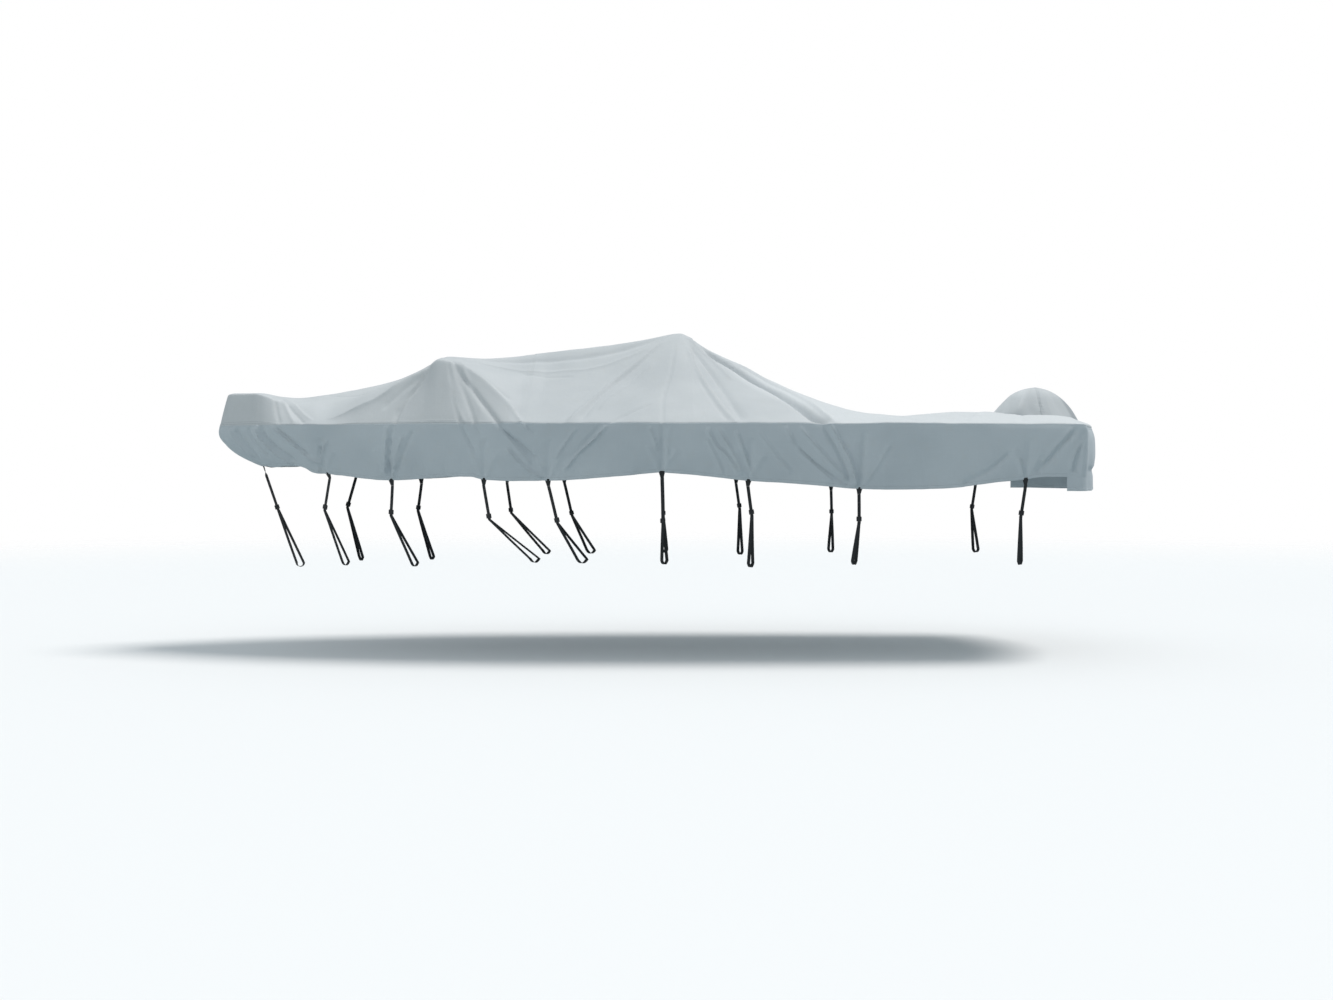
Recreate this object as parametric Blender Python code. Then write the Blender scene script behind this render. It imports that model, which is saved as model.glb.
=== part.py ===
import math

import bmesh
import bpy
from mathutils import Matrix, Vector

# Fitted cover for an open boat on its trailer, in metres, +Z up.
# The bow points to -X and port lies at -Y. The origin is on the centreline, at the
# underside of the cloth where the tallest support under it holds it up.
# Heights in the tables are taken from the gunwale, the line where deck panel meets skirt.

# Main sizes
CLOTH = 0.003
SMOOTH_ANGLE = math.radians(50)
SEAM = 0.00045              # each panel stops this far short of its seam line
PEAK_RISE = 0.778           # cloth at the tallest support, above the gunwale
GUNWALE_Z = CLOTH / 2 - PEAK_RISE

# Plan outline at the gunwale
HALF_BEAM = 1.20
STERN_X = 3.17
STERN_NARROW = 0.07         # half beam lost between the widest place and the stern
STERN_BOW = 0.24            # how far the stern edge curves out round the motor
STERN_BOW_FROM = 2.30
CORNER_ROUND = 0.06
BOW_START = 0.30            # the outline starts to close forward of this
BOW_REACH = 4.165
BOW_POWER = 2.1
BOW_ROUND = 0.65
NOSE_X = BOW_START - BOW_REACH

# Skirt
STEM_RAKE = 0.35            # how far the hem lies aft of the gunwale at the nose
STEM_BELLY = 0.015
STEM_BELLY_DEPTH = 0.45     # share of the skirt's depth that the belly takes
SIDE_TUCK = 0.05            # share of the half beam that the hem tucks in amidships
BOW_TUCK = 0.20
WRAP_X = 3.00               # the transom skirt wraps round the corners to here
REAR_DROP = 0.11            # its hem hangs this far below the side hem
STERN_FALL = 0.12           # the deck drops to the stern edge over this length
RIDGE_ROUND = 0.03
SHOULDER_SOFT = 0.012       # height over which the two runs of a cross-section blend
STERN_FLARE = 0.012         # how far the stern hem stands aft of the deck's edge
STERN_TUCK = 0.03           # share of the half beam that it tucks in

# x, height of the ridge, shoulder in from the gunwale, height of the shoulder
SECTIONS = (
    (NOSE_X, 0.270, 0.085, 0.262),
    (-3.52, 0.276, 0.090, 0.262),
    (-3.34, 0.246, 0.120, 0.215),
    (-3.20, 0.235, 0.190, 0.165),
    (-3.03, 0.256, 0.260, 0.150),
    (-2.86, 0.281, 0.120, 0.055),
    (-2.60, 0.333, 0.130, 0.145),
    (-2.36, 0.392, 0.200, 0.270),
    (-2.15, 0.478, 0.240, 0.372),
    (-2.04, 0.538, 0.250, 0.432),
    (-1.93, 0.576, 0.250, 0.514),
    (-1.85, 0.574, 0.250, 0.505),
    (-1.70, 0.571, 0.280, 0.440),
    (-1.51, 0.577, 0.225, 0.298),
    (-1.37, 0.587, 0.145, 0.158),
    (-1.25, 0.600, 0.100, 0.060),
    (-1.09, 0.619, 0.560, 0.275),
    (-0.67, 0.666, 0.580, 0.300),
    (-0.34, 0.716, 0.600, 0.335),
    (-0.13, 0.758, 0.600, 0.365),
    (0.00, PEAK_RISE, 0.600, 0.375),
    (0.08, 0.745, 0.600, 0.370),
    (0.17, 0.686, 0.600, 0.350),
    (0.34, 0.590, 0.580, 0.300),
    (0.55, 0.481, 0.550, 0.245),
    (0.76, 0.380, 0.500, 0.200),
    (1.01, 0.270, 0.460, 0.150),
    (1.26, 0.186, 0.420, 0.110),
    (1.54, 0.113, 0.420, 0.078),
    (1.81, 0.083, 0.420, 0.062),
    (2.15, 0.111, 0.420, 0.080),
    (2.33, 0.119, 0.420, 0.085),
    (2.62, 0.102, 0.400, 0.075),
    (3.00, 0.075, 0.350, 0.060),
    (STERN_X, 0.070, 0.300, 0.055),
)

# x, height of the hem
HEM = (
    (NOSE_X, -0.335), (-3.45, -0.338), (-3.22, -0.343), (-3.06, -0.392),
    (-2.75, -0.415), (-2.52, -0.439), (-2.34, -0.450), (-2.15, -0.442),
    (-1.98, -0.430), (-1.82, -0.422), (-1.66, -0.421), (-1.55, -0.445),
    (-1.26, -0.452), (-1.04, -0.452), (-0.86, -0.444), (-0.63, -0.424),
    (-0.40, -0.405), (-0.15, -0.389), (0.07, -0.401), (0.30, -0.424),
    (0.52, -0.451), (0.77, -0.463), (1.15, -0.494), (1.38, -0.513),
    (1.70, -0.517), (2.01, -0.513), (2.16, -0.502), (2.32, -0.478),
    (2.47, -0.459), (2.68, -0.444), (2.79, -0.424), (WRAP_X, -0.420),
)

# Folds of the port side. Down is 0 on the ridge, 1 at the gunwale and 2 at the hem.
# x from, down from, x to, down to, bend, width from, width to, height
FOLDS = (
    (-3.48, 0.80, -3.49, 1.05, 0.00, 0.045, 0.048, -0.012),
    (-3.34, 0.42, -3.08, 1.02, 0.00, 0.051, 0.068, 0.029),
    (-3.28, 0.42, -3.00, 1.00, 0.00, 0.058, 0.068, -0.026),
    (-3.34, 0.70, -3.20, 1.02, 0.00, 0.045, 0.048, -0.012),
    (-3.50, 1.03, -3.51, 1.85, 0.00, 0.051, 0.054, 0.019),
    (-3.44, 1.03, -3.45, 1.60, 0.00, 0.045, 0.048, -0.017),
    (-3.68, 1.05, -3.62, 1.90, 0.00, 0.072, 0.095, -0.019),
    (-3.38, 1.02, -3.20, 1.88, 0.00, 0.045, 0.061, -0.017),
    (-2.06, 0.74, -2.84, 0.80, 0.00, 0.045, 0.080, 0.008),
    (-2.03, 0.74, -2.43, 0.94, 0.00, 0.045, 0.070, -0.018),
    (-1.98, 0.73, -2.27, 1.02, 0.00, 0.045, 0.058, -0.020),
    (-2.28, 0.92, -2.31, 1.95, 0.00, 0.051, 0.048, -0.019),
    (-2.22, 0.94, -2.25, 1.90, 0.00, 0.045, 0.048, 0.018),
    (-2.18, 1.10, -2.29, 1.90, 0.00, 0.045, 0.048, -0.010),
    (-2.97, 0.09, -2.22, 0.56, 0.00, 0.045, 0.048, -0.008),
    (-1.87, 0.77, -1.71, 1.06, 0.00, 0.045, 0.050, 0.012),
    (-1.72, 1.02, -1.58, 1.65, 0.00, 0.051, 0.048, -0.012),
    (-1.84, 0.75, -1.59, 1.04, 0.00, 0.045, 0.050, -0.014),
    (-1.80, 0.75, -1.30, 1.28, 0.00, 0.045, 0.065, -0.024),
    (-1.42, 0.98, -1.08, 1.74, 0.00, 0.058, 0.048, -0.015),
    (-1.80, 0.70, -1.20, 1.04, 0.00, 0.045, 0.060, 0.012),
    (-1.22, 0.98, -1.12, 1.18, 0.00, 0.045, 0.048, -0.012),
    (-1.36, 1.48, -1.07, 1.96, 0.00, 0.045, 0.048, 0.014),
    (-1.60, 0.06, -0.12, 0.05, 0.10, 0.058, 0.054, -0.013),
    (-1.70, 0.19, -1.24, 0.28, 0.00, 0.045, 0.048, 0.012),
    (-1.30, 0.28, -0.86, 0.38, 0.00, 0.045, 0.048, -0.012),
    (-0.12, 0.08, -0.86, 1.02, 0.09, 0.045, 0.074, 0.036),
    (-0.31, 0.28, -0.79, 0.99, 0.00, 0.045, 0.061, -0.029),
    (-0.18, 0.32, -0.66, 0.86, 0.00, 0.045, 0.048, -0.018),
    (-0.32, 0.78, -0.53, 1.02, 0.00, 0.045, 0.048, -0.014),
    (-0.54, 1.02, -0.97, 1.90, 0.00, 0.045, 0.054, 0.013),
    (-0.83, 1.12, -1.00, 1.72, 0.00, 0.045, 0.048, -0.009),
    (-0.04, 0.10, -0.15, 1.88, 0.00, 0.045, 0.048, -0.009),
    (-0.23, 1.10, -0.20, 1.48, 0.00, 0.045, 0.048, -0.007),
    (0.06, 0.12, 0.44, 1.04, 0.00, 0.045, 0.074, 0.039),
    (0.13, 0.18, 0.51, 1.02, -0.03, 0.051, 0.074, -0.023),
    (0.05, 0.05, 1.14, 1.04, -0.25, 0.051, 0.095, -0.052),
    (1.13, 1.00, 1.37, 1.97, 0.00, 0.065, 0.048, -0.014),
    (0.22, 1.10, 0.45, 1.92, 0.00, 0.045, 0.048, -0.009),
    (0.43, 1.08, 0.53, 1.92, 0.00, 0.045, 0.048, -0.009),
    (0.80, 1.06, 1.32, 1.94, 0.00, 0.046, 0.048, -0.011),
    (0.95, 1.08, 1.28, 1.88, 0.00, 0.045, 0.048, 0.009),
    (2.54, 1.48, 2.14, 1.94, 0.00, 0.058, 0.054, -0.010),
    (3.12, 1.08, 2.79, 1.98, 0.00, 0.051, 0.068, -0.017),
)
FOLD_FADE = 0.16            # share of a fold's length over which each end dies out
STARBOARD_SHIFT = 0.06      # the starboard folds lie this far aft of the port ones
STARBOARD_SHARE = 0.85
SKIRT_DEPTH = 0.45

# Folds of the stern: place across in shares of the half beam, width, height at the hem
STERN_FOLDS = (
    (-0.82, 0.07, 0.014), (-0.50, 0.10, -0.018), (-0.22, 0.08, 0.016),
    (0.12, 0.11, -0.014), (0.45, 0.09, 0.018), (0.80, 0.08, -0.014),
)

# Motor hood
HOOD_X = 3.00
HOOD_HALF_LENGTH = 0.365
HOOD_HALF_WIDTH = 0.290
HOOD_TOP = 0.325
HOOD_SIDES = 28
HOOD_GORES = 4
HOOD_SHIFT = -0.015         # its crown lies a little forward of its middle
HOOD_CLEAR = 0.0003
# share of the height, share of the base outline
HOOD_RINGS = (
    (0.00, 1.00), (0.05, 0.985), (0.24, 0.91), (0.47, 0.81),
    (0.70, 0.66), (0.87, 0.46), (0.96, 0.24),
)
HOOD_SEAM_RISE = 0.006
HOOD_SEAM_FROM = 0.3        # its seams stand out fully from this share of the height
HOOD_CUT = (-0.10, 0.25)    # foot and top of the prism that opens the deck panel under it

# Straps and what carries them
LOOP_TOP = 0.048
LOOP_DROP = 0.045
LOOP_SIDE = 0.002           # its foot is this much wider than the strap on each side
LOOP_THICK = 0.0024
WEB_WIDTH = 0.026
WEB_THICK = 0.002
BUCKLE_WIDTH = 0.040
BUCKLE_LENGTH = 0.036
BUCKLE_THICK = 0.011
SLOT_CLEAR = 0.0004
BUCKLE_CLEAR = 0.004        # the strap runs straight this far past each end of its buckle
FORK_DROP = 0.030
FORK_RISE = 0.004           # the returning leg ends this much above the fork
LEG_PART = 0.0045           # distance between the two legs where they leave the buckle
BEAM_RADIUS = 0.030         # the straps turn round a trailer beam of this half size
BEAM_STEPS = 4
BOW_TWIST = math.radians(-55)       # the bow strap turns its flat side outwards by this
TWIST_STEPS = 6

# name, hem x, buckle x, buckle half beam, buckle z, foot half beam, foot z, leg feet x
STRAPS = (
    ("1", -2.92, -2.885, 0.500, -0.668, 0.350, -1.12, -2.768, -2.728),
    ("2", -2.32, -2.310, 0.740, -0.702, 0.500, -1.12, -2.180, -2.138),
    ("3", -1.55, -1.510, 0.940, -0.728, 0.650, -1.08, -1.206, -1.140),
    ("4", -1.04, -0.970, 1.020, -0.757, 0.750, -1.08, -0.822, -0.748),
    ("5", -0.15, -0.142, 1.095, -0.760, 0.900, -1.08, -0.150, -0.110),
    ("6", 0.52, 0.546, 1.100, -0.692, 0.950, -1.10, 0.528, 0.566),
    ("7", 1.38, 1.382, 1.095, -0.746, 0.950, -1.08, 1.345, 1.378),
    ("8", 2.68, 2.650, 1.060, -0.700, 0.950, -1.08, 2.646, 2.680),
)
BOW_STRAP = ("bow", NOSE_X, -3.390, 0.0, -0.680, 0.0, -1.15, -3.230, -3.165)
PULL_WIDTH = 0.07
PULL_DEPTH = 0.014          # each strap draws the hem in by this much

# Grid of the cloth
NOSE_STATIONS = 9
NOSE_SPAN = 0.565
NOSE_PAIR = 0.0032          # the first stations lie this far aft of the nose
CORNER_STEPS = 2
STATION_CLEAR = 0.75 * LOOP_TOP     # no other station lies this close to a strap
# from x, to x, number of steps
STATION_SPANS = (
    (NOSE_X + NOSE_SPAN, -1.90, 16), (-1.90, -0.90, 13), (-0.90, 0.0, 9),
    (0.0, 1.40, 14), (1.40, 2.60, 7), (2.60, WRAP_X, 4), (WRAP_X, STERN_X - CORNER_ROUND, 1),
)
ACROSS = (0.0, 0.07, 0.16, 0.25, 0.34, 0.43, 0.52, 0.62, 0.72, 0.82, 0.91, 1.0)
DOWN = (0.22, 0.48, 0.74, 1.0)


def table(rows, x, column):
    # reads a column between the rows as a smooth curve that never overshoots them
    if x <= rows[0][0]:
        return rows[0][column]
    if x >= rows[-1][0]:
        return rows[-1][column]
    k = 0
    while rows[k + 1][0] < x:
        k += 1

    def rise(i):
        return (rows[i + 1][column] - rows[i][column]) / (rows[i + 1][0] - rows[i][0])

    def slope(i):
        if i == 0 or i == len(rows) - 1:
            return 0.0
        before, after = rise(i - 1), rise(i)
        return 0.0 if before * after <= 0 else 2 * before * after / (before + after)

    step = rows[k + 1][0] - rows[k][0]
    t = (x - rows[k][0]) / step
    ends = rows[k][column] * (1 + 2 * t) * (1 - t) ** 2 + rows[k + 1][column] * t * t * (3 - 2 * t)
    return ends + step * t * (1 - t) * (slope(k) * (1 - t) - slope(k + 1) * t)


def smooth(t):
    t = min(max(t, 0.0), 1.0)
    return t * t * (3 - 2 * t)


def towards_bow(x):
    return min(max((BOW_START - x) / BOW_REACH, 0.0), 1.0)


def half_beam(x):
    if x < BOW_START:
        return HALF_BEAM * max(1 - towards_bow(x) ** BOW_POWER, 0.0) ** BOW_ROUND
    return HALF_BEAM - STERN_NARROW * ((x - BOW_START) / (STERN_X - BOW_START)) ** 2


def edge_half_beam(x):
    # the outline with its stern corner rounded off
    into = x - (STERN_X - CORNER_ROUND)
    if into <= 0:
        return half_beam(x)
    return half_beam(x) - CORNER_ROUND + math.sqrt(max(CORNER_ROUND ** 2 - into ** 2, 0.0))


def deck_height(x, v):
    # two straight runs, gunwale to shoulder and shoulder to ridge, with a soft bend between
    step = 0.0001
    slope = (half_beam(x + step) - half_beam(x - step)) / (2 * step) if x > NOSE_X + step else 50.0
    reach = half_beam(x) / math.hypot(1.0, slope)
    round_off = math.hypot(1.0, RIDGE_ROUND) - RIDGE_ROUND
    from_edge = reach * (1 - (math.hypot(v, RIDGE_ROUND) - RIDGE_ROUND) / round_off)
    ridge, shoulder_in, shoulder = (table(SECTIONS, x, column) for column in (1, 2, 3))
    low_slope = shoulder / shoulder_in
    high_slope = (ridge - shoulder) / max(reach - shoulder_in, 0.05)
    sign = -1 if low_slope > high_slope else 1

    def bent(d):
        low = low_slope * d
        high = shoulder + high_slope * (d - shoulder_in)
        return (low + high + sign * math.hypot(low - high, SHOULDER_SOFT)) / 2

    height = bent(from_edge) - bent(0.0) * (1 - from_edge / max(reach, step))
    return height * smooth((STERN_X - x) / STERN_FALL)


def stern_shift(x, v):
    return STERN_BOW * (1 - v * v) * smooth((x - STERN_BOW_FROM) / (STERN_X - STERN_BOW_FROM))


def deck_point(x, v):
    return Vector((x + stern_shift(x, v), v * edge_half_beam(x), GUNWALE_Z + deck_height(x, v)))


def fold_height(x, down, side):
    # sum of the folds at a place given by x and by how far down from the ridge it lies
    beam = half_beam(x)
    out = down * beam if down <= 1 else beam + (down - 1) * SKIRT_DEPTH
    shift, share = (0.0, 1.0) if side < 0 else (STARBOARD_SHIFT, STARBOARD_SHARE)
    total = 0.0
    for x0, d0, x1, d1, bend, width0, width1, height in FOLDS:
        x0, x1 = x0 + shift, x1 + shift
        y0 = d0 * half_beam(x0) if d0 <= 1 else half_beam(x0) + (d0 - 1) * SKIRT_DEPTH
        y1 = d1 * half_beam(x1) if d1 <= 1 else half_beam(x1) + (d1 - 1) * SKIRT_DEPTH
        length = math.hypot(x1 - x0, y1 - y0)
        ux, uy = (x1 - x0) / length, (y1 - y0) / length
        t = ((x - x0) * ux + (out - y0) * uy) / length
        if not 0 < t < 1:
            continue
        across = -(x - x0) * uy + (out - y0) * ux - 4 * bend * t * (1 - t)
        width = width0 + (width1 - width0) * t
        if abs(across) < 3 * width:
            fade = smooth(t / FOLD_FADE) * smooth((1 - t) / FOLD_FADE)
            total += share * height * fade * math.exp(-(across / width) ** 2)
    return total


def strap_pull(x, tau):
    pull = sum(math.exp(-((x - row[1]) / PULL_WIDTH) ** 2) for row in STRAPS)
    return -PULL_DEPTH * pull * tau ** 3


def side_point(x, side, tau):
    # the skirt between gunwale (tau 0) and hem (tau 1)
    t = towards_bow(x)
    beam = edge_half_beam(x)
    y = beam * (1 - (SIDE_TUCK + BOW_TUCK * t ** 5) * tau ** 1.5)
    belly = STEM_BELLY * t ** 12 * math.sin(math.pi * min(tau / STEM_BELLY_DEPTH, 1.0))
    along = x + STEM_RAKE * t ** 6 * tau ** 2.6 - belly
    return Vector((along, side * y, GUNWALE_Z + table(HEM, x, 1) * tau))


def stern_point(v, tau):
    top = deck_point(STERN_X, v)
    hem = HEM[-1][1]
    return Vector((top.x + STERN_FLARE * tau, top.y * (1 - STERN_TUCK * tau), GUNWALE_Z + hem * tau))


def stern_fold(v, tau):
    return sum(height * tau * math.exp(-((v - place) * HALF_BEAM / width) ** 2)
               for place, width, height in STERN_FOLDS)


def station_list():
    stations = [NOSE_X + NOSE_SPAN * (k / NOSE_STATIONS) ** (1 / BOW_ROUND)
                for k in range(NOSE_STATIONS)]
    for start, end, steps in STATION_SPANS:
        stations += [start + (end - start) * k / steps for k in range(steps)]
    # a pair of stations under each strap, in place of what lies close to it
    for row in STRAPS:
        stations = [x for x in stations if abs(x - row[1]) > STATION_CLEAR]
        stations += [row[1] - LOOP_TOP / 2, row[1] + LOOP_TOP / 2]
    stations.append(NOSE_X + NOSE_PAIR)
    for k in range(CORNER_STEPS + 1):
        turned = math.sin(math.pi / 2 * k / CORNER_STEPS)
        stations.append(STERN_X - CORNER_ROUND * (1 - turned))
    return sorted(stations)


def halves(corners):
    # splits a quad along its shorter diagonal, so that both faces of the cloth bend alike
    if len(corners) < 4:
        return [tuple(corners)]
    a, b, c, d = corners
    if (a.co - c.co).length < (b.co - d.co).length:
        return [(a, b, c), (a, c, d)]
    return [(a, b, d), (b, c, d)]


class Drape:
    """The middle surface of the whole cover, from which every panel is cut."""

    def __init__(self):
        self.bm = bmesh.new()
        self.panels = {}
        self.stations = station_list()
        self.across = [-v for v in reversed(ACROSS[1:])] + list(ACROSS)
        self.make_deck()
        self.make_skirt()
        self.raise_folds()

    def face(self, panel, verts):
        corners = []
        for vert in verts:
            if vert not in corners:
                corners.append(vert)
        if len(corners) > 2:
            self.panels.setdefault(panel, []).append(self.bm.faces.new(corners))

    def vert(self, point, fold):
        made = self.bm.verts.new(point)
        self.folds[made] = fold
        return made

    def make_deck(self):
        self.folds = {}
        nose = self.vert(deck_point(NOSE_X, 0.0), 0.0)
        self.deck = [[nose] * len(self.across)]
        for x in self.stations[1:]:
            row = []
            for v in self.across:
                fold = fold_height(x, abs(v), v) * smooth((STERN_X - x) / STERN_FALL)
                row.append(self.vert(deck_point(x, v), fold))
            self.deck.append(row)
        for before, after in zip(self.deck, self.deck[1:]):
            for j in range(len(before) - 1):
                self.face("deck_panel", (before[j], after[j], after[j + 1], before[j + 1]))

    def make_skirt(self):
        last = len(self.stations) - 1
        self.columns = []
        for k, x in enumerate(self.stations):
            side = -1
            lower = [self.side_vert(x, side, tau) for tau in DOWN]
            self.columns.append(("port", x, [self.deck[k][0]] + lower))
        for j in range(1, len(self.across) - 1):
            v = self.across[j]
            lower = [self.vert(stern_point(v, tau), stern_fold(v, tau)) for tau in DOWN]
            self.columns.append(("stern", v, [self.deck[last][j]] + lower))
        for k in range(last, 0, -1):
            x = self.stations[k]
            lower = [self.side_vert(x, 1, tau) for tau in DOWN]
            self.columns.append(("starboard", x, [self.deck[k][-1]] + lower))
        self.columns.append(self.columns[0])
        for place, x, column in self.columns[:-1]:
            if place == "stern" or x > WRAP_X - 0.001:
                foot = column[-1].co
                column.append(self.vert(foot - Vector((0, 0, REAR_DROP)), self.folds[column[-1]]))
        for (place, x, column), (other, x2, following) in zip(self.columns, self.columns[1:]):
            wrap = "stern" in (place, other) or min(x, x2) > WRAP_X - 0.001
            panel = "transom_skirt" if wrap else place + "_skirt"
            rows = len(DOWN) + 1 if wrap else len(DOWN)
            for m in range(rows):
                self.face(panel, (column[m], column[m + 1], following[m + 1], following[m]))

    def side_vert(self, x, side, tau):
        fold = fold_height(x, 1 + tau, side) + strap_pull(x, tau)
        if x == NOSE_X:
            fold = 0.0
        return self.vert(side_point(x, side, tau), fold)

    def raise_folds(self):
        self.bm.normal_update()
        for vert, fold in self.folds.items():
            vert.co += vert.normal * fold
        self.bm.normal_update()

    def used_by(self, faces):
        return {vert for face in faces for vert in face.verts}

    def away_from_seam(self, vert, own):
        # direction along the cloth from a seam into the panel, square to the seam
        centres = [f.calc_center_median() for f in vert.link_faces if f in own]
        into = sum(centres, Vector()) / len(centres) - vert.co
        ends = [edge.other_vert(vert).co for edge in vert.link_edges
                if 0 < sum(1 for f in edge.link_faces if f in own) < len(edge.link_faces)]
        if len(ends) == 2:
            along = (ends[1] - ends[0]).normalized()
            into -= along * into.dot(along)
        return into.normalized()

    def shell(self, panel):
        # mesh data of one panel at full thickness, drawn back a little from its seams
        faces = self.panels[panel]
        others = self.used_by([f for name, part in self.panels.items() if name != panel for f in part])
        own = set(faces)
        shell = bmesh.new()
        outer, inner = {}, {}
        for vert in sorted(self.used_by(faces), key=lambda v: v.index):
            place = vert.co.copy()
            if vert in others:
                place += self.away_from_seam(vert, own) * SEAM
            outer[vert] = shell.verts.new(place + vert.normal * CLOTH / 2)
            inner[vert] = shell.verts.new(place - vert.normal * CLOTH / 2)
        for face in faces:
            for corners in halves(face.verts):
                shell.faces.new([outer[v] for v in corners])
                shell.faces.new([inner[v] for v in reversed(corners)])
            for loop in face.loops:
                if sum(1 for f in loop.edge.link_faces if f in own) == 1:
                    # both panels at a seam split its faces along the same diagonal
                    a, b = loop.vert, loop.link_loop_next.vert
                    if a.index < b.index:
                        rim = [(outer[b], outer[a], inner[b]), (outer[a], inner[a], inner[b])]
                    else:
                        rim = [(outer[b], outer[a], inner[a]), (outer[b], inner[a], inner[b])]
                    for corners in rim:
                        shell.faces.new(corners)
        self.edges = {"outer": outer, "inner": inner}
        return shell


def material(name, colour, roughness, metallic=0.0):
    made = bpy.data.materials.new(name)
    made.use_nodes = True
    shader = made.node_tree.nodes["Principled BSDF"]
    shader.inputs["Base Color"].default_value = (*colour, 1.0)
    shader.inputs["Roughness"].default_value = roughness
    shader.inputs["Metallic"].default_value = metallic
    return made


def finish(name, shape, look, round_angle=None):
    bmesh.ops.recalc_face_normals(shape, faces=shape.faces)
    mesh = bpy.data.meshes.new(name)
    shape.to_mesh(mesh)
    shape.free()
    if round_angle:
        mesh.shade_smooth()
        mesh.set_sharp_from_angle(angle=round_angle)
    mesh.materials.append(look)
    made = bpy.data.objects.new(name, mesh)
    bpy.context.scene.collection.objects.link(made)
    return made


def hood_outline(grow):
    # points of the base outline in plan, grown outwards by a small distance
    points = []
    for k in range(HOOD_SIDES):
        angle = 2 * math.pi * k / HOOD_SIDES
        points.append(((HOOD_HALF_LENGTH + grow) * math.cos(angle),
                       (HOOD_HALF_WIDTH + grow) * math.sin(angle)))
    return points


def deck_at(x, y):
    # height of the deck panel over a place in plan near the stern
    station = x
    for _ in range(30):
        station = x - stern_shift(station, y / half_beam(station))
    return deck_point(station, y / half_beam(station)).z


def make_hood(look):
    outline = hood_outline(0.0)
    top = GUNWALE_Z + HOOD_TOP
    mid = bmesh.new()
    rings = []
    for k, (rise, size) in enumerate(HOOD_RINGS):
        ring = []
        for n, (x, y) in enumerate(outline):
            seam = HOOD_SEAM_RISE * smooth(rise / HOOD_SEAM_FROM) * (n % (HOOD_SIDES // HOOD_GORES) == 0)
            px = HOOD_X + HOOD_SHIFT * rise + x * (size + seam)
            py = y * (size + seam)
            base = deck_at(HOOD_X + x, y) - CLOTH / 2
            ring.append(mid.verts.new((px, py, base + (top - base) * rise)))
        rings.append(ring)
    crown = mid.verts.new((HOOD_X + HOOD_SHIFT, 0.0, top))
    for lower, upper in zip(rings, rings[1:]):
        for n in range(HOOD_SIDES):
            m = (n + 1) % HOOD_SIDES
            mid.faces.new((lower[n], lower[m], upper[m], upper[n]))
    for n in range(HOOD_SIDES):
        mid.faces.new((rings[-1][n], rings[-1][(n + 1) % HOOD_SIDES], crown))
    mid.normal_update()
    shell = bmesh.new()
    outer, inner = {}, {}
    for vert in list(mid.verts):
        normal = vert.normal.copy()
        if vert in rings[0] or vert in rings[1]:
            normal.z = 0.0
            normal.normalize()
        outer[vert] = shell.verts.new(vert.co)
        inner[vert] = shell.verts.new(vert.co - normal * CLOTH)
    for face in list(mid.faces):
        for corners in halves(face.verts):
            shell.faces.new([outer[v] for v in corners])
            shell.faces.new([inner[v] for v in reversed(corners)])
    for n in range(HOOD_SIDES):
        a, b = rings[0][n], rings[0][(n + 1) % HOOD_SIDES]
        shell.faces.new((outer[b], outer[a], inner[a], inner[b]))
    mid.free()
    return finish("motor_hood", shell, look, SMOOTH_ANGLE)


def make_hood_cutter():
    # a plain prism a hair wider than the hood, which opens the deck panel under it
    shape = bmesh.new()
    low, high = (GUNWALE_Z + level for level in HOOD_CUT)
    ring = [shape.verts.new((HOOD_X + x, y, low)) for x, y in hood_outline(HOOD_CLEAR)]
    base = shape.faces.new(list(reversed(ring)))
    lifted = bmesh.ops.extrude_face_region(shape, geom=[base])
    moved = [item for item in lifted["geom"] if isinstance(item, bmesh.types.BMVert)]
    bmesh.ops.translate(shape, vec=(0, 0, high - low), verts=moved)
    cutter = finish("hood_cutter", shape, material("guide", (1, 0, 0), 0.5))
    cutter.hide_render = True
    cutter.display_type = "WIRE"
    return cutter


def sweep(shape, sections):
    # joins four-cornered sections, each a centre, width and thickness vector, into a bar
    rings = []
    for centre, width, thick in sections:
        rings.append([shape.verts.new(centre + width * a + thick * b)
                      for a, b in ((-1, -1), (1, -1), (1, 1), (-1, 1))])
    for before, after in zip(rings, rings[1:]):
        for n in range(4):
            m = (n + 1) % 4
            shape.faces.new((before[n], before[m], after[m], after[n]))
    shape.faces.new(list(reversed(rings[0])))
    shape.faces.new(rings[-1])


def make_loop(name, look, hem_edge):
    # a sewn web loop, wide under the hem and narrow where the strap passes
    outer, inner = hem_edge
    middle = (outer[0] + outer[-1] + inner[0] + inner[-1]) / 4
    width = (outer[-1] - outer[0]).normalized()
    thick = ((outer[0] + outer[-1]) - (inner[0] + inner[-1])).normalized()
    down = width.cross(thick).normalized()
    if down.z > 0:
        down = -down
    shape = bmesh.new()
    top = [p + down * SEAM for p in outer] + [p + down * SEAM for p in reversed(inner)]
    centre = middle + down * LOOP_DROP
    half = WEB_WIDTH / 2 + LOOP_SIDE
    count = len(outer)
    bottom = []
    for k in range(count):
        across = -half + 2 * half * k / (count - 1)
        bottom.append(centre + width * across + thick * LOOP_THICK / 2)
    bottom += [p - thick * LOOP_THICK for p in reversed(bottom)]
    upper = [shape.verts.new(p) for p in top]
    lower = [shape.verts.new(p) for p in bottom]
    for n in range(len(upper)):
        m = (n + 1) % len(upper)
        shape.faces.new((upper[n], upper[m], lower[m], lower[n]))
    shape.faces.new(list(reversed(upper)))
    shape.faces.new(lower)
    finish(name, shape, look)
    return centre + down * SEAM, width, down


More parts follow.
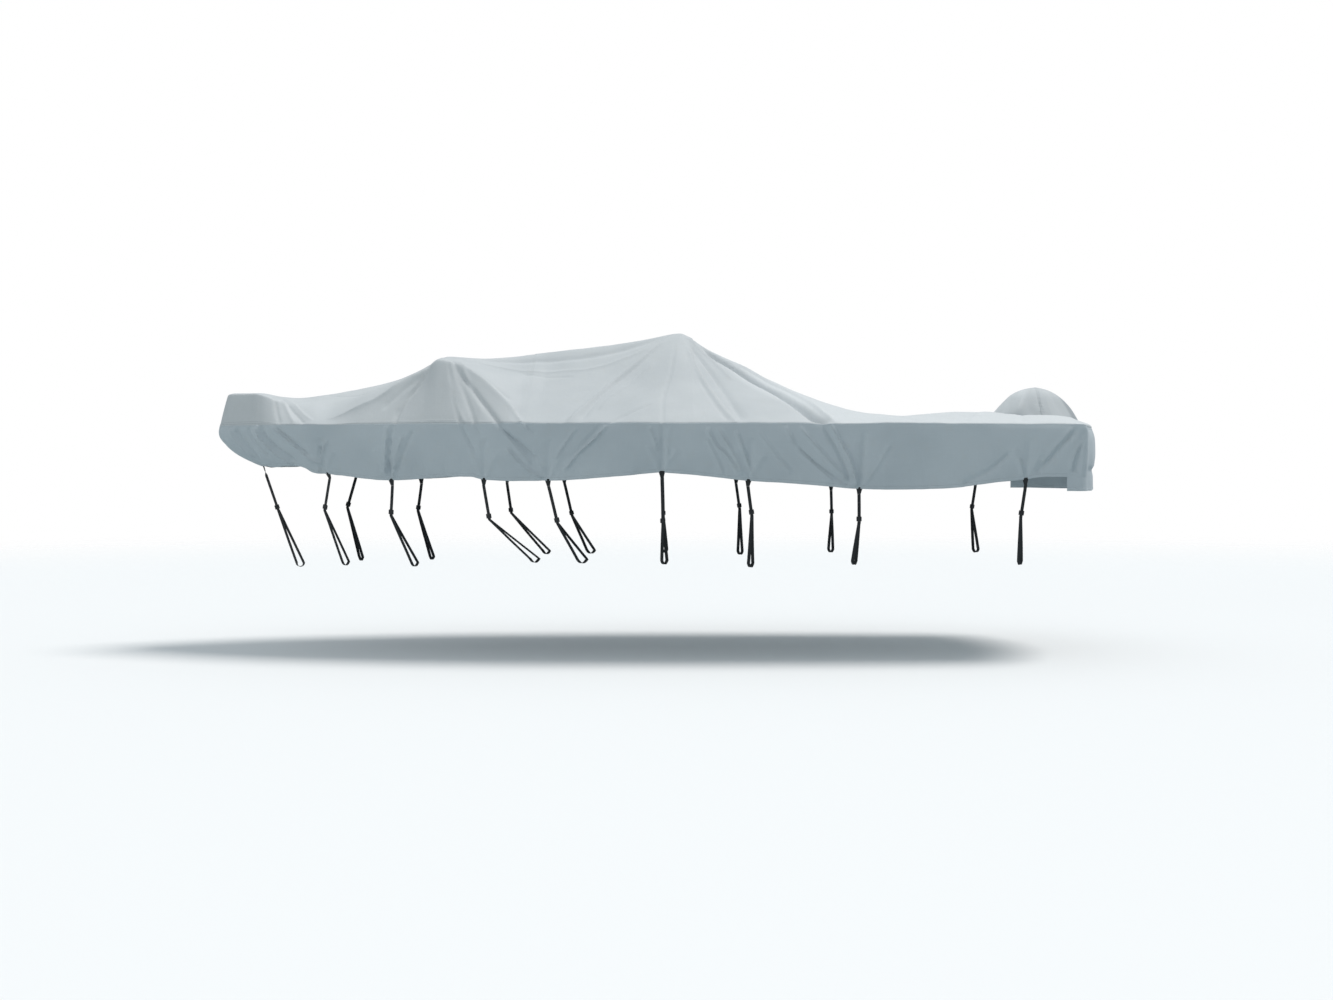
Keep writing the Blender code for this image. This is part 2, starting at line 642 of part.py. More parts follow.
def strap_route(start, row, side):
    # centre line of a strap: down through its buckle, round the beam and back up
    name, hem_x, buckle_x, buckle_y, buckle_z, foot_y, foot_z, foot_a, foot_b = row
    buckle = Vector((buckle_x, side * buckle_y, GUNWALE_Z + buckle_z))
    down = (buckle - start).normalized()
    inward = Vector((0, -side, 0)) if side else Vector((1, 0, 0))
    straight = down * (BUCKLE_LENGTH / 2 + BUCKLE_CLEAR)
    fork = buckle + down * FORK_DROP
    points = [start, buckle - straight, buckle + straight, fork]
    centre_z = GUNWALE_Z + foot_z
    for k in range(BEAM_STEPS + 1):
        share = k / BEAM_STEPS
        angle = math.pi * share
        x = foot_a + (foot_b - foot_a) * share
        if side:
            y = side * (foot_y + BEAM_RADIUS * math.cos(angle))
        else:
            y = 0.0
            x = (foot_a + foot_b) / 2 - BEAM_RADIUS * math.cos(angle)
        points.append(Vector((x, y, centre_z - BEAM_RADIUS * math.sin(angle))))
    points.append(fork + inward * LEG_PART - down * FORK_RISE)
    return points, buckle, down


def twisted_run(points, twist):
    # the points with the turn at each: full from the buckle to the fork, none at the beam
    if not twist:
        return [(point, 0.0) for point in points]
    turns = [0.0] + [twist] * 3 + [0.0] * (BEAM_STEPS + 1) + [twist]
    run = [(points[0], turns[0])]
    for start, end, turn, following in zip(points, points[1:], turns, turns[1:]):
        steps = TWIST_STEPS if turn != following else 1
        for k in range(1, steps + 1):
            share = k / steps
            run.append((start.lerp(end, share), turn + (following - turn) * share))
    return run


def make_strap(name, look, points, width, leaving, twist=0.0):
    run = twisted_run(points, twist)
    straight = (points[2] - points[1]).normalized()
    sections = []
    for k, (point, turn) in enumerate(run):
        along = (run[min(k + 1, len(run) - 1)][0] - run[max(k - 1, 0)][0]).normalized()
        if k == 0:
            along = leaving
        elif min((point - points[1]).length, (point - points[2]).length) < SEAM:
            along = straight
        turned = Matrix.Rotation(turn, 3, along) @ width
        flat = (turned - along * turned.dot(along)).normalized()
        thick = along.cross(flat).normalized()
        sections.append((point, flat * WEB_WIDTH / 2, thick * WEB_THICK / 2))
    shape = bmesh.new()
    sweep(shape, sections)
    finish(name, shape, look)


def make_buckle(name, look, centre, down, width):
    # a flat frame with a slot that the strap passes through
    flat = (width - down * width.dot(down)).normalized()
    thick = down.cross(flat).normalized()
    shape = bmesh.new()
    rings = []
    for end in (-1, 1):
        for half_width, half_thick in ((BUCKLE_WIDTH / 2, BUCKLE_THICK / 2),
                                       (WEB_WIDTH / 2 + SLOT_CLEAR, WEB_THICK / 2 + SLOT_CLEAR)):
            rings.append([shape.verts.new(centre + down * end * BUCKLE_LENGTH / 2
                                          + flat * a * half_width + thick * b * half_thick)
                          for a, b in ((-1, -1), (1, -1), (1, 1), (-1, 1))])
    outer_top, slot_top, outer_low, slot_low = rings
    for n in range(4):
        m = (n + 1) % 4
        shape.faces.new((outer_top[n], outer_top[m], outer_low[m], outer_low[n]))
        shape.faces.new((slot_top[m], slot_top[n], slot_low[n], slot_low[m]))
        shape.faces.new((outer_top[m], outer_top[n], slot_top[n], slot_top[m]))
        shape.faces.new((outer_low[n], outer_low[m], slot_low[m], slot_low[n]))
    finish(name, shape, look)


def hem_edge(drape, hems, place, x):
    # outer and inner points of the hem between the two stations beside a strap
    found = []
    for side, at, column in drape.columns[:-1]:
        if side == place and abs(at - x) < STATION_CLEAR:
            found.append(column[len(DOWN)])
    found.sort(key=lambda vert: vert.co.x)
    return [hems[place][0][v] for v in found], [hems[place][1][v] for v in found]


def main():
    for old in list(bpy.data.objects):
        bpy.data.objects.remove(old, do_unlink=True)
    cloth = material("cover_cloth", (0.52, 0.56, 0.58), 0.85)
    webbing = material("black_webbing", (0.015, 0.015, 0.017), 0.7)
    plastic = material("black_plastic", (0.02, 0.02, 0.022), 0.45)

    drape = Drape()
    for index, vert in enumerate(drape.bm.verts):
        vert.index = index
    hems = {}
    made = {}
    for panel in ("deck_panel", "port_skirt", "starboard_skirt", "transom_skirt"):
        shell = drape.shell(panel)
        if panel != "deck_panel":
            places = [{v: p.co.copy() for v, p in drape.edges[key].items()}
                      for key in ("outer", "inner")]
            hems[panel.replace("_skirt", "")] = places
        made[panel] = finish(panel, shell, cloth, SMOOTH_ANGLE)
    cut = made["deck_panel"].modifiers.new("hood_opening", "BOOLEAN")
    cut.operation = "DIFFERENCE"
    cut.object = make_hood_cutter()
    make_hood(cloth)

    for side, place in ((-1, "port"), (1, "starboard")):
        for row in STRAPS:
            edge = hem_edge(drape, hems, place, row[1])
            label = place + "_" + row[0]
            start, width, leaving = make_loop("hem_loop_" + label, webbing, edge)
            points, buckle, down = strap_route(start, row, side)
            make_strap("strap_" + label, webbing, points, width, leaving)
            make_buckle("buckle_" + label, plastic, buckle, down, width)

    nose = drape.columns[0][2][len(DOWN)]
    port_side = drape.columns[1][2][len(DOWN)]
    starboard_side = drape.columns[-2][2][len(DOWN)]
    outer = [hems["port"][0][port_side], hems["port"][0][nose], hems["starboard"][0][starboard_side]]
    inner = [hems["port"][1][port_side], hems["port"][1][nose], hems["starboard"][1][starboard_side]]
    start, width, leaving = make_loop("hem_loop_bow", webbing, (outer, inner))
    points, buckle, down = strap_route(start, BOW_STRAP, 0)
    make_strap("strap_bow", webbing, points, width, leaving, BOW_TWIST)
    make_buckle("buckle_bow", plastic, buckle, down, Matrix.Rotation(BOW_TWIST, 3, down) @ width)
    drape.bm.free()


main()
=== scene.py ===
import math

import bmesh
import bpy
import numpy as np
from mathutils import Matrix, Vector
from mathutils.bvhtree import BVHTree


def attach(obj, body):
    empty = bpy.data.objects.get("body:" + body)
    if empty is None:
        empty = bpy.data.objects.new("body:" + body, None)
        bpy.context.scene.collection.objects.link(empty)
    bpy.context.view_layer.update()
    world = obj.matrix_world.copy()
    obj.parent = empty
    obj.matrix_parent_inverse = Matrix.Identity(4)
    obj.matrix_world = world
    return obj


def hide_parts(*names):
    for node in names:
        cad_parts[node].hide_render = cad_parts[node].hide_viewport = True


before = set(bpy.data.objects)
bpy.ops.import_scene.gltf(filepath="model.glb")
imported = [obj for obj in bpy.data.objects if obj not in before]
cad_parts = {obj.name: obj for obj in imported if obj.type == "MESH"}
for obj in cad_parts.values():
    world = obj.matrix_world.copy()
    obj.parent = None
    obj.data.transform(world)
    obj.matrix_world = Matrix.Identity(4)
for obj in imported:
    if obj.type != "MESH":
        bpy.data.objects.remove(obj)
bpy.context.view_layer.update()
print("frame loaded:", len(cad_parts), "nodes")

# Boat cover, in metres: bow at -X, port at -Y, origin under the cloth at the tallest support.
# Heights in the tables are taken from the gunwale, where deck panel meets skirt.
cover = {
    "solidThick": 0.003,        # the frame's cloth, whose middle the sheets follow
    "thick": 0.0012,
    "smoothAngle": 60,
    "peakRise": 0.778,
    "halfBeam": 1.20,
    "sternX": 3.17,
    "sternNarrow": 0.07,
    "sternBow": 0.24,
    "sternBowFrom": 2.30,
    "sternLean": 0.03,          # the transom skirt is narrower at its hem by this share
    "cornerRound": 0.06,
    "bowStart": 0.30,
    "bowReach": 4.165,
    "bowPower": 2.1,
    "bowRound": 0.65,
    "stemRake": 0.35,
    "stemBelly": 0.015,
    "stemBellyEnd": 0.45,       # as a share of the way down
    "sideTuck": 0.05,
    "bowTuck": 0.20,
    "wrapX": 3.00,              # the transom skirt comes this far round both corners
    "rearDrop": 0.11,           # and hangs this much lower
    "sternFall": 0.28,
    "skirtFolds": 0.45,         # the creases grow by this share below the gunwale
    "foldsGrown": 0.25,         # and have done so at this share of the way down
    "ridgeBlend": 0.10,         # the two sides' creases become one towards the ridge
    "cornerFade": 0.10,
    "cornerBlend": 0.20,
    "cornerEase": 0.10,         # the stern's outline leaves its corners softly
    "endDrop": 0.036,           # the deck rolls over its end by this much
    "ridgeRound": 0.03,
    "shoulderRound": 0.012,
    "leastRun": 0.05,           # least run from shoulder to ridge
    "slopeStep": 0.0001,
    "noseSlope": 50.0,          # stands in for the outline's slope at the very tip
    "noseFade": 0.02,
    "noseGap": 1e-5,            # keeps the first station off the tip itself
    "skirtDepth": 0.45,
    "noseSpan": 0.565,
    "noseStations": 62,
    "wrapStations": 9,
    "cornerStep": 10,           # degrees from station to station round the corner
    "step": 0.0135,             # width of a cell of the sheets
    "downStep": 0.0115,
    "rearStep": 0.012,
    "narrowBeam": 0.5,          # where the beam is less the seam's rows draw together
    "leastBeam": 1e-6,
    "edgeRound": 0.012,         # the cloth bends over the gunwale with this reach
    "edgeDraw": 0.007,
    "looser": 1.7,              # aft of looseFrom the bend is wider by this share
    "looseFrom": 2.10,
    "looseRun": 0.70,
    "blend": 0.05,              # folds turn from one panel's way out to the next's in this
}
# how late each change of the skirt's shape sets in, towards the bow or on the way down
powers = {"tuck": 1.5, "bowTuck": 5, "belly": 12, "rake": 6, "rakeDown": 2.6, "flatEdge": 9, "pull": 3}
# share of the way down the transom, how far the cloth stands out aft there
sternBillow = ((0.0, 0.0), (0.22, 0.012), (0.55, 0.018), (0.76, 0.010), (0.87, -0.010), (1.0, -0.004))
gunwaleZ = cover["solidThick"] / 2 - cover["peakRise"]
noseX = cover["bowStart"] - cover["bowReach"]

# x, height of the ridge, shoulder in from the gunwale, height of the shoulder
sections = (
    (noseX, 0.270, 0.085, 0.262),
    (-3.52, 0.276, 0.090, 0.262),
    (-3.34, 0.246, 0.120, 0.215),
    (-3.20, 0.235, 0.190, 0.165),
    (-3.03, 0.256, 0.260, 0.150),
    (-2.86, 0.281, 0.120, 0.055),
    (-2.60, 0.333, 0.130, 0.145),
    (-2.36, 0.392, 0.200, 0.270),
    (-2.15, 0.478, 0.240, 0.372),
    (-2.04, 0.538, 0.250, 0.432),
    (-1.93, 0.576, 0.250, 0.514),
    (-1.85, 0.574, 0.250, 0.505),
    (-1.70, 0.571, 0.280, 0.440),
    (-1.51, 0.577, 0.225, 0.298),
    (-1.37, 0.587, 0.145, 0.158),
    (-1.25, 0.600, 0.100, 0.060),
    (-1.09, 0.619, 0.560, 0.275),
    (-0.67, 0.666, 0.580, 0.300),
    (-0.34, 0.716, 0.600, 0.335),
    (-0.13, 0.758, 0.600, 0.365),
    (0.00, cover["peakRise"], 0.600, 0.375),
    (0.08, 0.745, 0.600, 0.370),
    (0.17, 0.686, 0.600, 0.350),
    (0.34, 0.590, 0.580, 0.300),
    (0.55, 0.481, 0.550, 0.245),
    (0.76, 0.380, 0.500, 0.200),
    (1.01, 0.270, 0.460, 0.150),
    (1.26, 0.186, 0.420, 0.110),
    (1.54, 0.113, 0.420, 0.078),
    (1.81, 0.083, 0.420, 0.062),
    (2.15, 0.111, 0.420, 0.080),
    (2.33, 0.119, 0.420, 0.085),
    (2.62, 0.102, 0.400, 0.075),
    (3.00, 0.075, 0.350, 0.060),
    (cover["sternX"], 0.070, 0.300, 0.055),
)

# x, height of the hem
hemLine = (
    (noseX, -0.335), (-3.45, -0.338), (-3.22, -0.343), (-3.06, -0.392),
    (-2.75, -0.415), (-2.52, -0.439), (-2.34, -0.450), (-2.15, -0.442),
    (-1.98, -0.430), (-1.82, -0.422), (-1.66, -0.421), (-1.55, -0.445),
    (-1.26, -0.452), (-1.04, -0.452), (-0.86, -0.444), (-0.63, -0.424),
    (-0.40, -0.405), (-0.15, -0.389), (0.07, -0.401), (0.30, -0.424),
    (0.52, -0.451), (0.77, -0.463), (1.15, -0.494), (1.38, -0.513),
    (1.70, -0.517), (2.01, -0.513), (2.16, -0.502), (2.32, -0.478),
    (2.47, -0.459), (2.68, -0.444), (2.79, -0.424), (cover["wrapX"], -0.420),
)

sternHem = hemLine[-1][1]

# Creases of the port side, given one by one. Each way is a run of (x, down), where down is 0 on
# the ridge, 1 at the gunwale and 2 at the hem. Then width at its start and end, height (below
# 0 is a trough), how crisp its crest is, from 0 to 1, and its lean: above 0 the side towards
# the bow is the wider one, below 0 the side towards the stern.
creases = (
    # bow block and the dip behind it
    (((-3.37, 0.30), (-3.27, 0.60), (-3.18, 0.80), (-3.10, 0.99)), 0.012, 0.018, 0.012, 0.9, 0.4),
    (((-3.33, 0.34), (-3.21, 0.64), (-3.11, 0.82), (-3.02, 1.00)), 0.011, 0.015, -0.012, 0.9, 0.0),
    (((-3.40, 0.42), (-3.31, 0.76), (-3.24, 1.00)), 0.010, 0.014, -0.009, 0.9, 0.0),
    (((-3.29, 0.30), (-3.15, 0.60), (-2.95, 0.94)), 0.010, 0.014, 0.009, 0.9, 0.4),
    (((-3.46, 0.60), (-3.45, 0.84), (-3.44, 1.04)), 0.012, 0.012, -0.003, 0.9, 0.0),
    (((-3.46, 0.98), (-3.43, 1.30), (-3.36, 1.64), (-3.27, 1.96)), 0.016, 0.022, 0.022, 0.8, 0.4),
    (((-3.42, 0.98), (-3.38, 1.30), (-3.31, 1.60), (-3.21, 1.90)), 0.014, 0.018, -0.017, 0.7, 0.0),
    (((-3.54, 1.04), (-3.51, 1.36), (-3.46, 1.80)), 0.016, 0.020, -0.012, 0.7, 0.0),
    (((-3.66, 1.06), (-3.62, 1.48), (-3.60, 1.85)), 0.022, 0.028, -0.018, 0.6, 0.0),
    (((-3.72, 1.04), (-3.69, 1.40), (-3.66, 1.80)), 0.016, 0.022, 0.012, 0.7, 0.3),
    (((-3.33, 1.00), (-3.20, 1.30), (-3.06, 1.62), (-2.94, 1.80)), 0.014, 0.018, 0.016, 0.9, 0.4),
    (((-3.28, 1.04), (-3.15, 1.36), (-3.02, 1.64)), 0.012, 0.016, -0.011, 0.8, 0.0),
    (((-2.83, 1.30), (-2.93, 1.73), (-3.00, 1.98)), 0.013, 0.020, 0.013, 0.9, 0.4),
    (((-2.90, 1.42), (-2.97, 1.92)), 0.014, 0.018, -0.011, 0.8, 0.0),
    # first support, towards the bow
    (((-1.96, 0.70), (-2.04, 0.77), (-2.09, 0.81), (-2.17, 0.86), (-2.22, 0.92), (-2.26, 1.03)),
     0.013, 0.020, -0.017, 0.8, 0.3),
    (((-2.24, 0.97), (-2.28, 1.16), (-2.29, 1.38), (-2.31, 1.60), (-2.32, 1.95)),
     0.013, 0.018, -0.010, 0.8, 0.0),
    (((-2.02, 0.71), (-2.08, 0.78), (-2.15, 0.84), (-2.25, 0.93)), 0.012, 0.016, 0.009, 0.9, 0.4),
    (((-2.05, 0.76), (-2.18, 0.79), (-2.28, 0.84), (-2.37, 0.90)), 0.016, 0.022, -0.008, 0.5, 0.0),
    (((-2.00, 0.73), (-2.21, 0.72), (-2.34, 0.77), (-2.48, 0.82), (-2.64, 0.84), (-2.86, 0.86)),
     0.013, 0.022, 0.012, 0.9, -0.5),
    (((-2.04, 0.66), (-2.20, 0.62), (-2.40, 0.66)), 0.013, 0.018, 0.007, 0.8, -0.4),
    (((-2.31, 1.01), (-2.33, 1.40), (-2.36, 1.94)), 0.018, 0.022, 0.011, 0.8, 0.4),
    (((-2.18, 1.20), (-2.26, 1.64), (-2.29, 1.98)), 0.013, 0.016, 0.010, 0.9, 0.4),
    (((-2.10, 1.10), (-2.18, 1.47), (-2.25, 1.86)), 0.014, 0.018, -0.010, 0.8, 0.0),
    (((-2.98, 0.07), (-2.60, 0.34), (-2.18, 0.60)), 0.016, 0.016, -0.005, 0.7, 0.0),
    # first support, towards the stern
    (((-1.88, 0.71), (-1.82, 0.82), (-1.79, 0.90), (-1.75, 0.96), (-1.71, 1.08), (-1.66, 1.33),
      (-1.59, 1.60)), 0.011, 0.016, -0.010, 0.9, -0.3),
    (((-1.86, 0.66), (-1.77, 0.79), (-1.71, 0.85), (-1.65, 0.93), (-1.62, 0.98), (-1.55, 1.26)),
     0.012, 0.017, -0.012, 0.9, 0.0),
    (((-1.82, 0.82), (-1.77, 0.92), (-1.68, 1.00)), 0.011, 0.013, 0.008, 0.9, 0.0),
    (((-1.86, 0.62), (-1.74, 0.72), (-1.64, 0.84), (-1.54, 0.95)), 0.012, 0.016, 0.009, 0.9, 0.4),
    (((-1.84, 0.70), (-1.75, 0.77), (-1.67, 0.81), (-1.58, 0.87), (-1.50, 0.93), (-1.43, 0.99),
      (-1.35, 1.17), (-1.25, 1.34), (-1.15, 1.54), (-1.06, 1.76)), 0.015, 0.024, -0.020, 0.8, 0.3),
    (((-1.86, 0.68), (-1.72, 0.71), (-1.57, 0.75), (-1.47, 0.80), (-1.36, 0.86), (-1.26, 0.95),
      (-1.23, 1.02), (-1.18, 1.14)), 0.014, 0.022, 0.016, 0.9, 0.4),
    (((-1.80, 0.64), (-1.62, 0.68), (-1.46, 0.74), (-1.34, 0.80)), 0.018, 0.026, -0.009, 0.4, 0.0),
    (((-1.24, 0.99), (-1.19, 1.08), (-1.12, 1.18)), 0.012, 0.014, -0.008, 0.9, 0.0),
    (((-1.40, 1.10), (-1.28, 1.40), (-1.16, 1.72)), 0.013, 0.018, 0.009, 0.9, 0.4),
    (((-1.36, 1.42), (-1.22, 1.76), (-1.07, 1.95)), 0.016, 0.022, 0.014, 0.9, 0.4),
    # between the supports
    (((-1.72, 0.10), (-1.30, 0.13), (-0.90, 0.14), (-0.50, 0.11), (-0.14, 0.04)),
     0.036, 0.030, -0.014, 0.2, 0.0),
    (((-1.72, 0.30), (-1.39, 0.28), (-0.99, 0.29), (-0.66, 0.27), (-0.16, 0.11)),
     0.016, 0.016, 0.010, 0.9, 0.4),
    (((-1.30, 0.33), (-1.08, 0.36), (-0.86, 0.38)), 0.013, 0.013, -0.006, 0.9, 0.0),
    # tall support, towards the bow
    (((-0.06, 0.04), (-0.33, 0.27), (-0.52, 0.44), (-0.67, 0.64), (-0.80, 0.84), (-0.90, 1.04)),
     0.022, 0.032, 0.022, 0.8, -0.5),
    (((-0.15, 0.12), (-0.35, 0.32), (-0.55, 0.52), (-0.70, 0.76), (-0.79, 1.00)),
     0.022, 0.032, -0.016, 0.5, 0.0),
    (((-0.20, 0.30), (-0.36, 0.48), (-0.47, 0.58), (-0.56, 0.69), (-0.65, 0.84)),
     0.012, 0.016, 0.010, 0.9, -0.4),
    (((-0.22, 0.79), (-0.40, 0.90), (-0.56, 1.04)), 0.011, 0.013, -0.009, 0.9, 0.0),
    (((-0.56, 1.04), (-0.67, 1.30), (-0.79, 1.53), (-0.92, 1.86)), 0.013, 0.018, 0.014, 0.9, 0.4),
    (((-0.62, 1.04), (-0.73, 1.32), (-0.86, 1.62)), 0.016, 0.020, -0.008, 0.7, 0.0),
    (((-0.80, 1.08), (-0.90, 1.37), (-0.98, 1.64)), 0.013, 0.017, 0.010, 0.9, 0.4),
    (((-0.03, 0.08), (-0.08, 0.46), (-0.12, 0.64), (-0.14, 0.78), (-0.14, 1.03), (-0.14, 1.90)),
     0.012, 0.014, -0.007, 0.9, 0.2),
    (((-0.25, 1.06), (-0.22, 1.24), (-0.18, 1.56)), 0.012, 0.014, 0.010, 0.9, 0.3),
    (((-0.09, 1.06), (-0.10, 1.50), (-0.11, 1.84)), 0.011, 0.013, 0.007, 0.9, 0.3),
    # tall support, towards the stern
    (((0.04, 0.08), (0.11, 0.31), (0.19, 0.49), (0.28, 0.69), (0.37, 0.89), (0.43, 1.02)),
     0.014, 0.019, 0.017, 0.9, 0.5),
    (((0.14, 0.46), (0.28, 0.80), (0.36, 0.98)), 0.011, 0.013, -0.008, 0.9, 0.0),
    (((0.08, 0.12), (0.19, 0.26), (0.30, 0.46), (0.41, 0.76), (0.48, 1.00)),
     0.022, 0.040, -0.020, 0.4, -0.3),
    (((0.04, 0.03), (0.15, 0.09), (0.25, 0.16), (0.34, 0.25), (0.44, 0.36)),
     0.014, 0.020, 0.016, 0.9, 0.5),
    (((0.12, 0.00), (0.33, 0.06), (0.52, 0.13), (0.69, 0.25), (0.82, 0.38), (0.97, 0.66),
      (1.07, 0.88), (1.14, 1.03)), 0.046, 0.052, -0.074, 0.6, 0.45),
    (((0.37, 0.01), (0.58, 0.06), (0.77, 0.18), (0.92, 0.33), (1.05, 0.60), (1.14, 0.84),
      (1.19, 1.02)), 0.024, 0.026, 0.026, 0.8, -0.2),
    (((1.13, 0.98), (1.22, 1.27), (1.29, 1.51), (1.34, 1.78), (1.36, 1.99)),
     0.016, 0.022, 0.018, 0.9, 0.4),
    (((1.08, 1.00), (1.18, 1.32), (1.26, 1.62), (1.32, 1.94)), 0.020, 0.020, -0.015, 0.6, 0.0),
    (((0.19, 1.06), (0.27, 1.41), (0.35, 1.58), (0.47, 1.94)), 0.013, 0.018, 0.013, 0.9, 0.4),
    (((0.27, 1.06), (0.37, 1.42), (0.43, 1.65), (0.48, 1.92)), 0.013, 0.016, 0.012, 0.9, 0.4),
    (((0.42, 1.12), (0.48, 1.47), (0.55, 1.90)), 0.013, 0.016, 0.013, 0.9, 0.4),
    (((0.19, 1.26), (0.28, 1.68), (0.33, 1.94)), 0.013, 0.016, 0.009, 0.9, 0.4),
    (((0.58, 1.10), (0.74, 1.56), (0.86, 1.84)), 0.013, 0.018, 0.008, 0.8, 0.4),
    (((0.80, 1.04), (0.92, 1.46), (1.20, 1.94)), 0.014, 0.020, 0.013, 0.9, 0.4),
    (((0.82, 1.26), (1.07, 1.69), (1.32, 1.97)), 0.014, 0.018, -0.011, 0.8, 0.0),
    (((0.90, 1.04), (1.10, 1.50), (1.30, 1.90)), 0.014, 0.020, 0.013, 0.9, 0.4),
    (((1.42, 1.10), (1.40, 1.92)), 0.018, 0.018, -0.008, 0.7, 0.0),
    (((1.62, 1.30), (1.52, 1.64), (1.42, 1.94)), 0.014, 0.018, 0.007, 0.8, 0.4),
    # towards the transom
    (((2.19, 0.70), (2.34, 0.76), (2.48, 0.74)), 0.018, 0.018, 0.006, 0.6, 0.0),
    (((1.22, 0.16), (1.56, 0.30), (1.98, 0.34), (2.30, 0.26)), 0.070, 0.050, -0.012, 0.2, 0.0),
    (((1.42, 0.56), (1.70, 0.76), (1.92, 0.98)), 0.026, 0.020, 0.007, 0.6, 0.4),
    (((2.62, 0.22), (2.44, 0.54), (2.24, 0.96)), 0.040, 0.030, 0.009, 0.4, 0.3),
    (((2.74, 0.34), (2.66, 0.62), (2.64, 0.98)), 0.024, 0.022, -0.008, 0.6, 0.0),
    (((2.92, 0.36), (3.00, 0.66), (3.08, 0.94)), 0.024, 0.020, 0.008, 0.6, 0.4),
    (((2.60, 0.30), (2.95, 0.34), (3.16, 0.40)), 0.110, 0.090, -0.016, 0.0, 0.0),
    (((2.56, 1.50), (2.40, 1.78), (2.18, 1.96)), 0.018, 0.026, -0.013, 0.8, 0.0),
    (((2.62, 1.60), (2.66, 1.94)), 0.014, 0.016, 0.008, 0.8, 0.4),
    (((3.09, 1.06), (2.94, 1.46), (2.84, 1.74), (2.76, 1.94)), 0.022, 0.034, -0.016, 0.6, 0.2),
    (((3.04, 1.08), (2.90, 1.44), (2.80, 1.76)), 0.016, 0.020, 0.009, 0.8, 0.4),
    (((3.14, 1.08), (3.09, 1.54), (3.06, 1.94)), 0.024, 0.038, -0.016, 0.5, 0.2),
    (((3.12, 1.30), (3.05, 1.60), (3.02, 1.92)), 0.014, 0.020, 0.012, 0.8, 0.3),
)
creaseShape = {
    "starboardShift": 0.06,     # the starboard creases lie this far aft of the port ones
    "starboardShare": 0.85,     # and stand this high beside them
    "fade": 0.14,               # share of its length in which a crease dies away
    "reach": 4,                 # in widths
    "crispRate": 1.7,
    "crispTip": 0.05,
    "smoothing": 6,             # cuts between one point of its way and the next
}
# pulls that fan up from each strap: (lean aft, reach upwards, height) for each of them
strapPulls = {
    "rays": ((-0.11, 1.42, 0.005), (0.02, 1.25, -0.006), (0.13, 1.50, 0.005)),
    "foot": 2.02,
    "bend": 1.75,
    "bendLean": 0.45,
    "widths": (0.014, 0.030),
    "crisp": 0.3,
}
ripples = {
    "seeds": (11, 12),
    "count": 26,
    "shortest": 0.16,
    "growth": 1.09,
    "height": 0.0016,           # per metre of length
    "wander": 0.7,
    "wanderRate": 2.3,
}

# place across the stern in shares of the half beam, width, height at the hem
sternFolds = (
    (-0.82, 0.07, 0.014), (-0.50, 0.10, -0.018), (-0.22, 0.08, 0.016),
    (0.12, 0.11, -0.014), (0.45, 0.09, 0.018), (0.80, 0.08, -0.014),
)
rearRipple = {"height": 0.004, "rate": 19.0, "from": 0.30, "over": 0.23, "hemOver": 0.05}
sternRipple = {"height": 0.0020, "rate": 37.0, "slant": 3.0, "from": 0.3, "over": 0.7}
hemWaves = {
    "height": 0.0022, "from": 0.72, "over": 0.28,
    "long": 0.6, "longRate": 41.0, "wander": 1.3, "wanderRate": 7.0,
    "short": 0.4, "shortRate": 67.0, "shortStart": 2.0,
}
felledSeam = {"rise": 0.0013, "width": 0.0135, "edge": 0.002, "dip": 0.0016, "dipWidth": 0.0025}
turnedHem = {
    "rise": 0.0014, "width": 0.0285, "edge": 0.0015,
    "dip": 0.0008, "dipAt": 0.0245, "dipWidth": 0.0016,
}

# name, hem x, buckle x, buckle half beam, buckle z, foot half beam, foot z, leg feet x
strapRows = (
    ("1", -2.92, -2.885, 0.500, -0.668, 0.350, -1.12, -2.768, -2.728),
    ("2", -2.32, -2.310, 0.740, -0.702, 0.500, -1.12, -2.180, -2.138),
    ("3", -1.55, -1.510, 0.940, -0.728, 0.650, -1.08, -1.206, -1.140),
    ("4", -1.04, -0.970, 1.020, -0.757, 0.750, -1.08, -0.822, -0.748),
    ("5", -0.15, -0.142, 1.095, -0.760, 0.900, -1.08, -0.150, -0.110),
    ("6", 0.52, 0.546, 1.100, -0.692, 0.950, -1.10, 0.528, 0.566),
    ("7", 1.38, 1.382, 1.095, -0.746, 0.950, -1.08, 1.345, 1.378),
    ("8", 2.68, 2.650, 1.060, -0.700, 0.950, -1.08, 2.646, 2.680),
)
bowStrap = ("bow", noseX, -3.390, 0.0, -0.680, 0.0, -1.15, -3.230, -3.165)
hemXs = [row[1] for row in strapRows]
strap = {
    "width": 0.026,
    "thick": 0.0018,
    "clearance": 0.004,         # straight run beyond each end of the buckle
    "forkDrop": 0.030,
    "legPart": 0.0045,
    "beamRadius": 0.030,
    "beamCuts": 8,
    "pullWidth": 0.07,
    "pullDepth": 0.014,
    "sample": 0.012,            # distance between its cross sections
    "bowTwist": math.radians(-72),
    "loopTwist": math.radians(-62),     # where the strap meets the beam
    "turnWithin": 0.12,         # share of its run in which the strap turns to that
    "sway": 0.0010,
    "swayRate": 9.0,
    "swayStart": 5.0,
    "smoothAngle": 50,
}


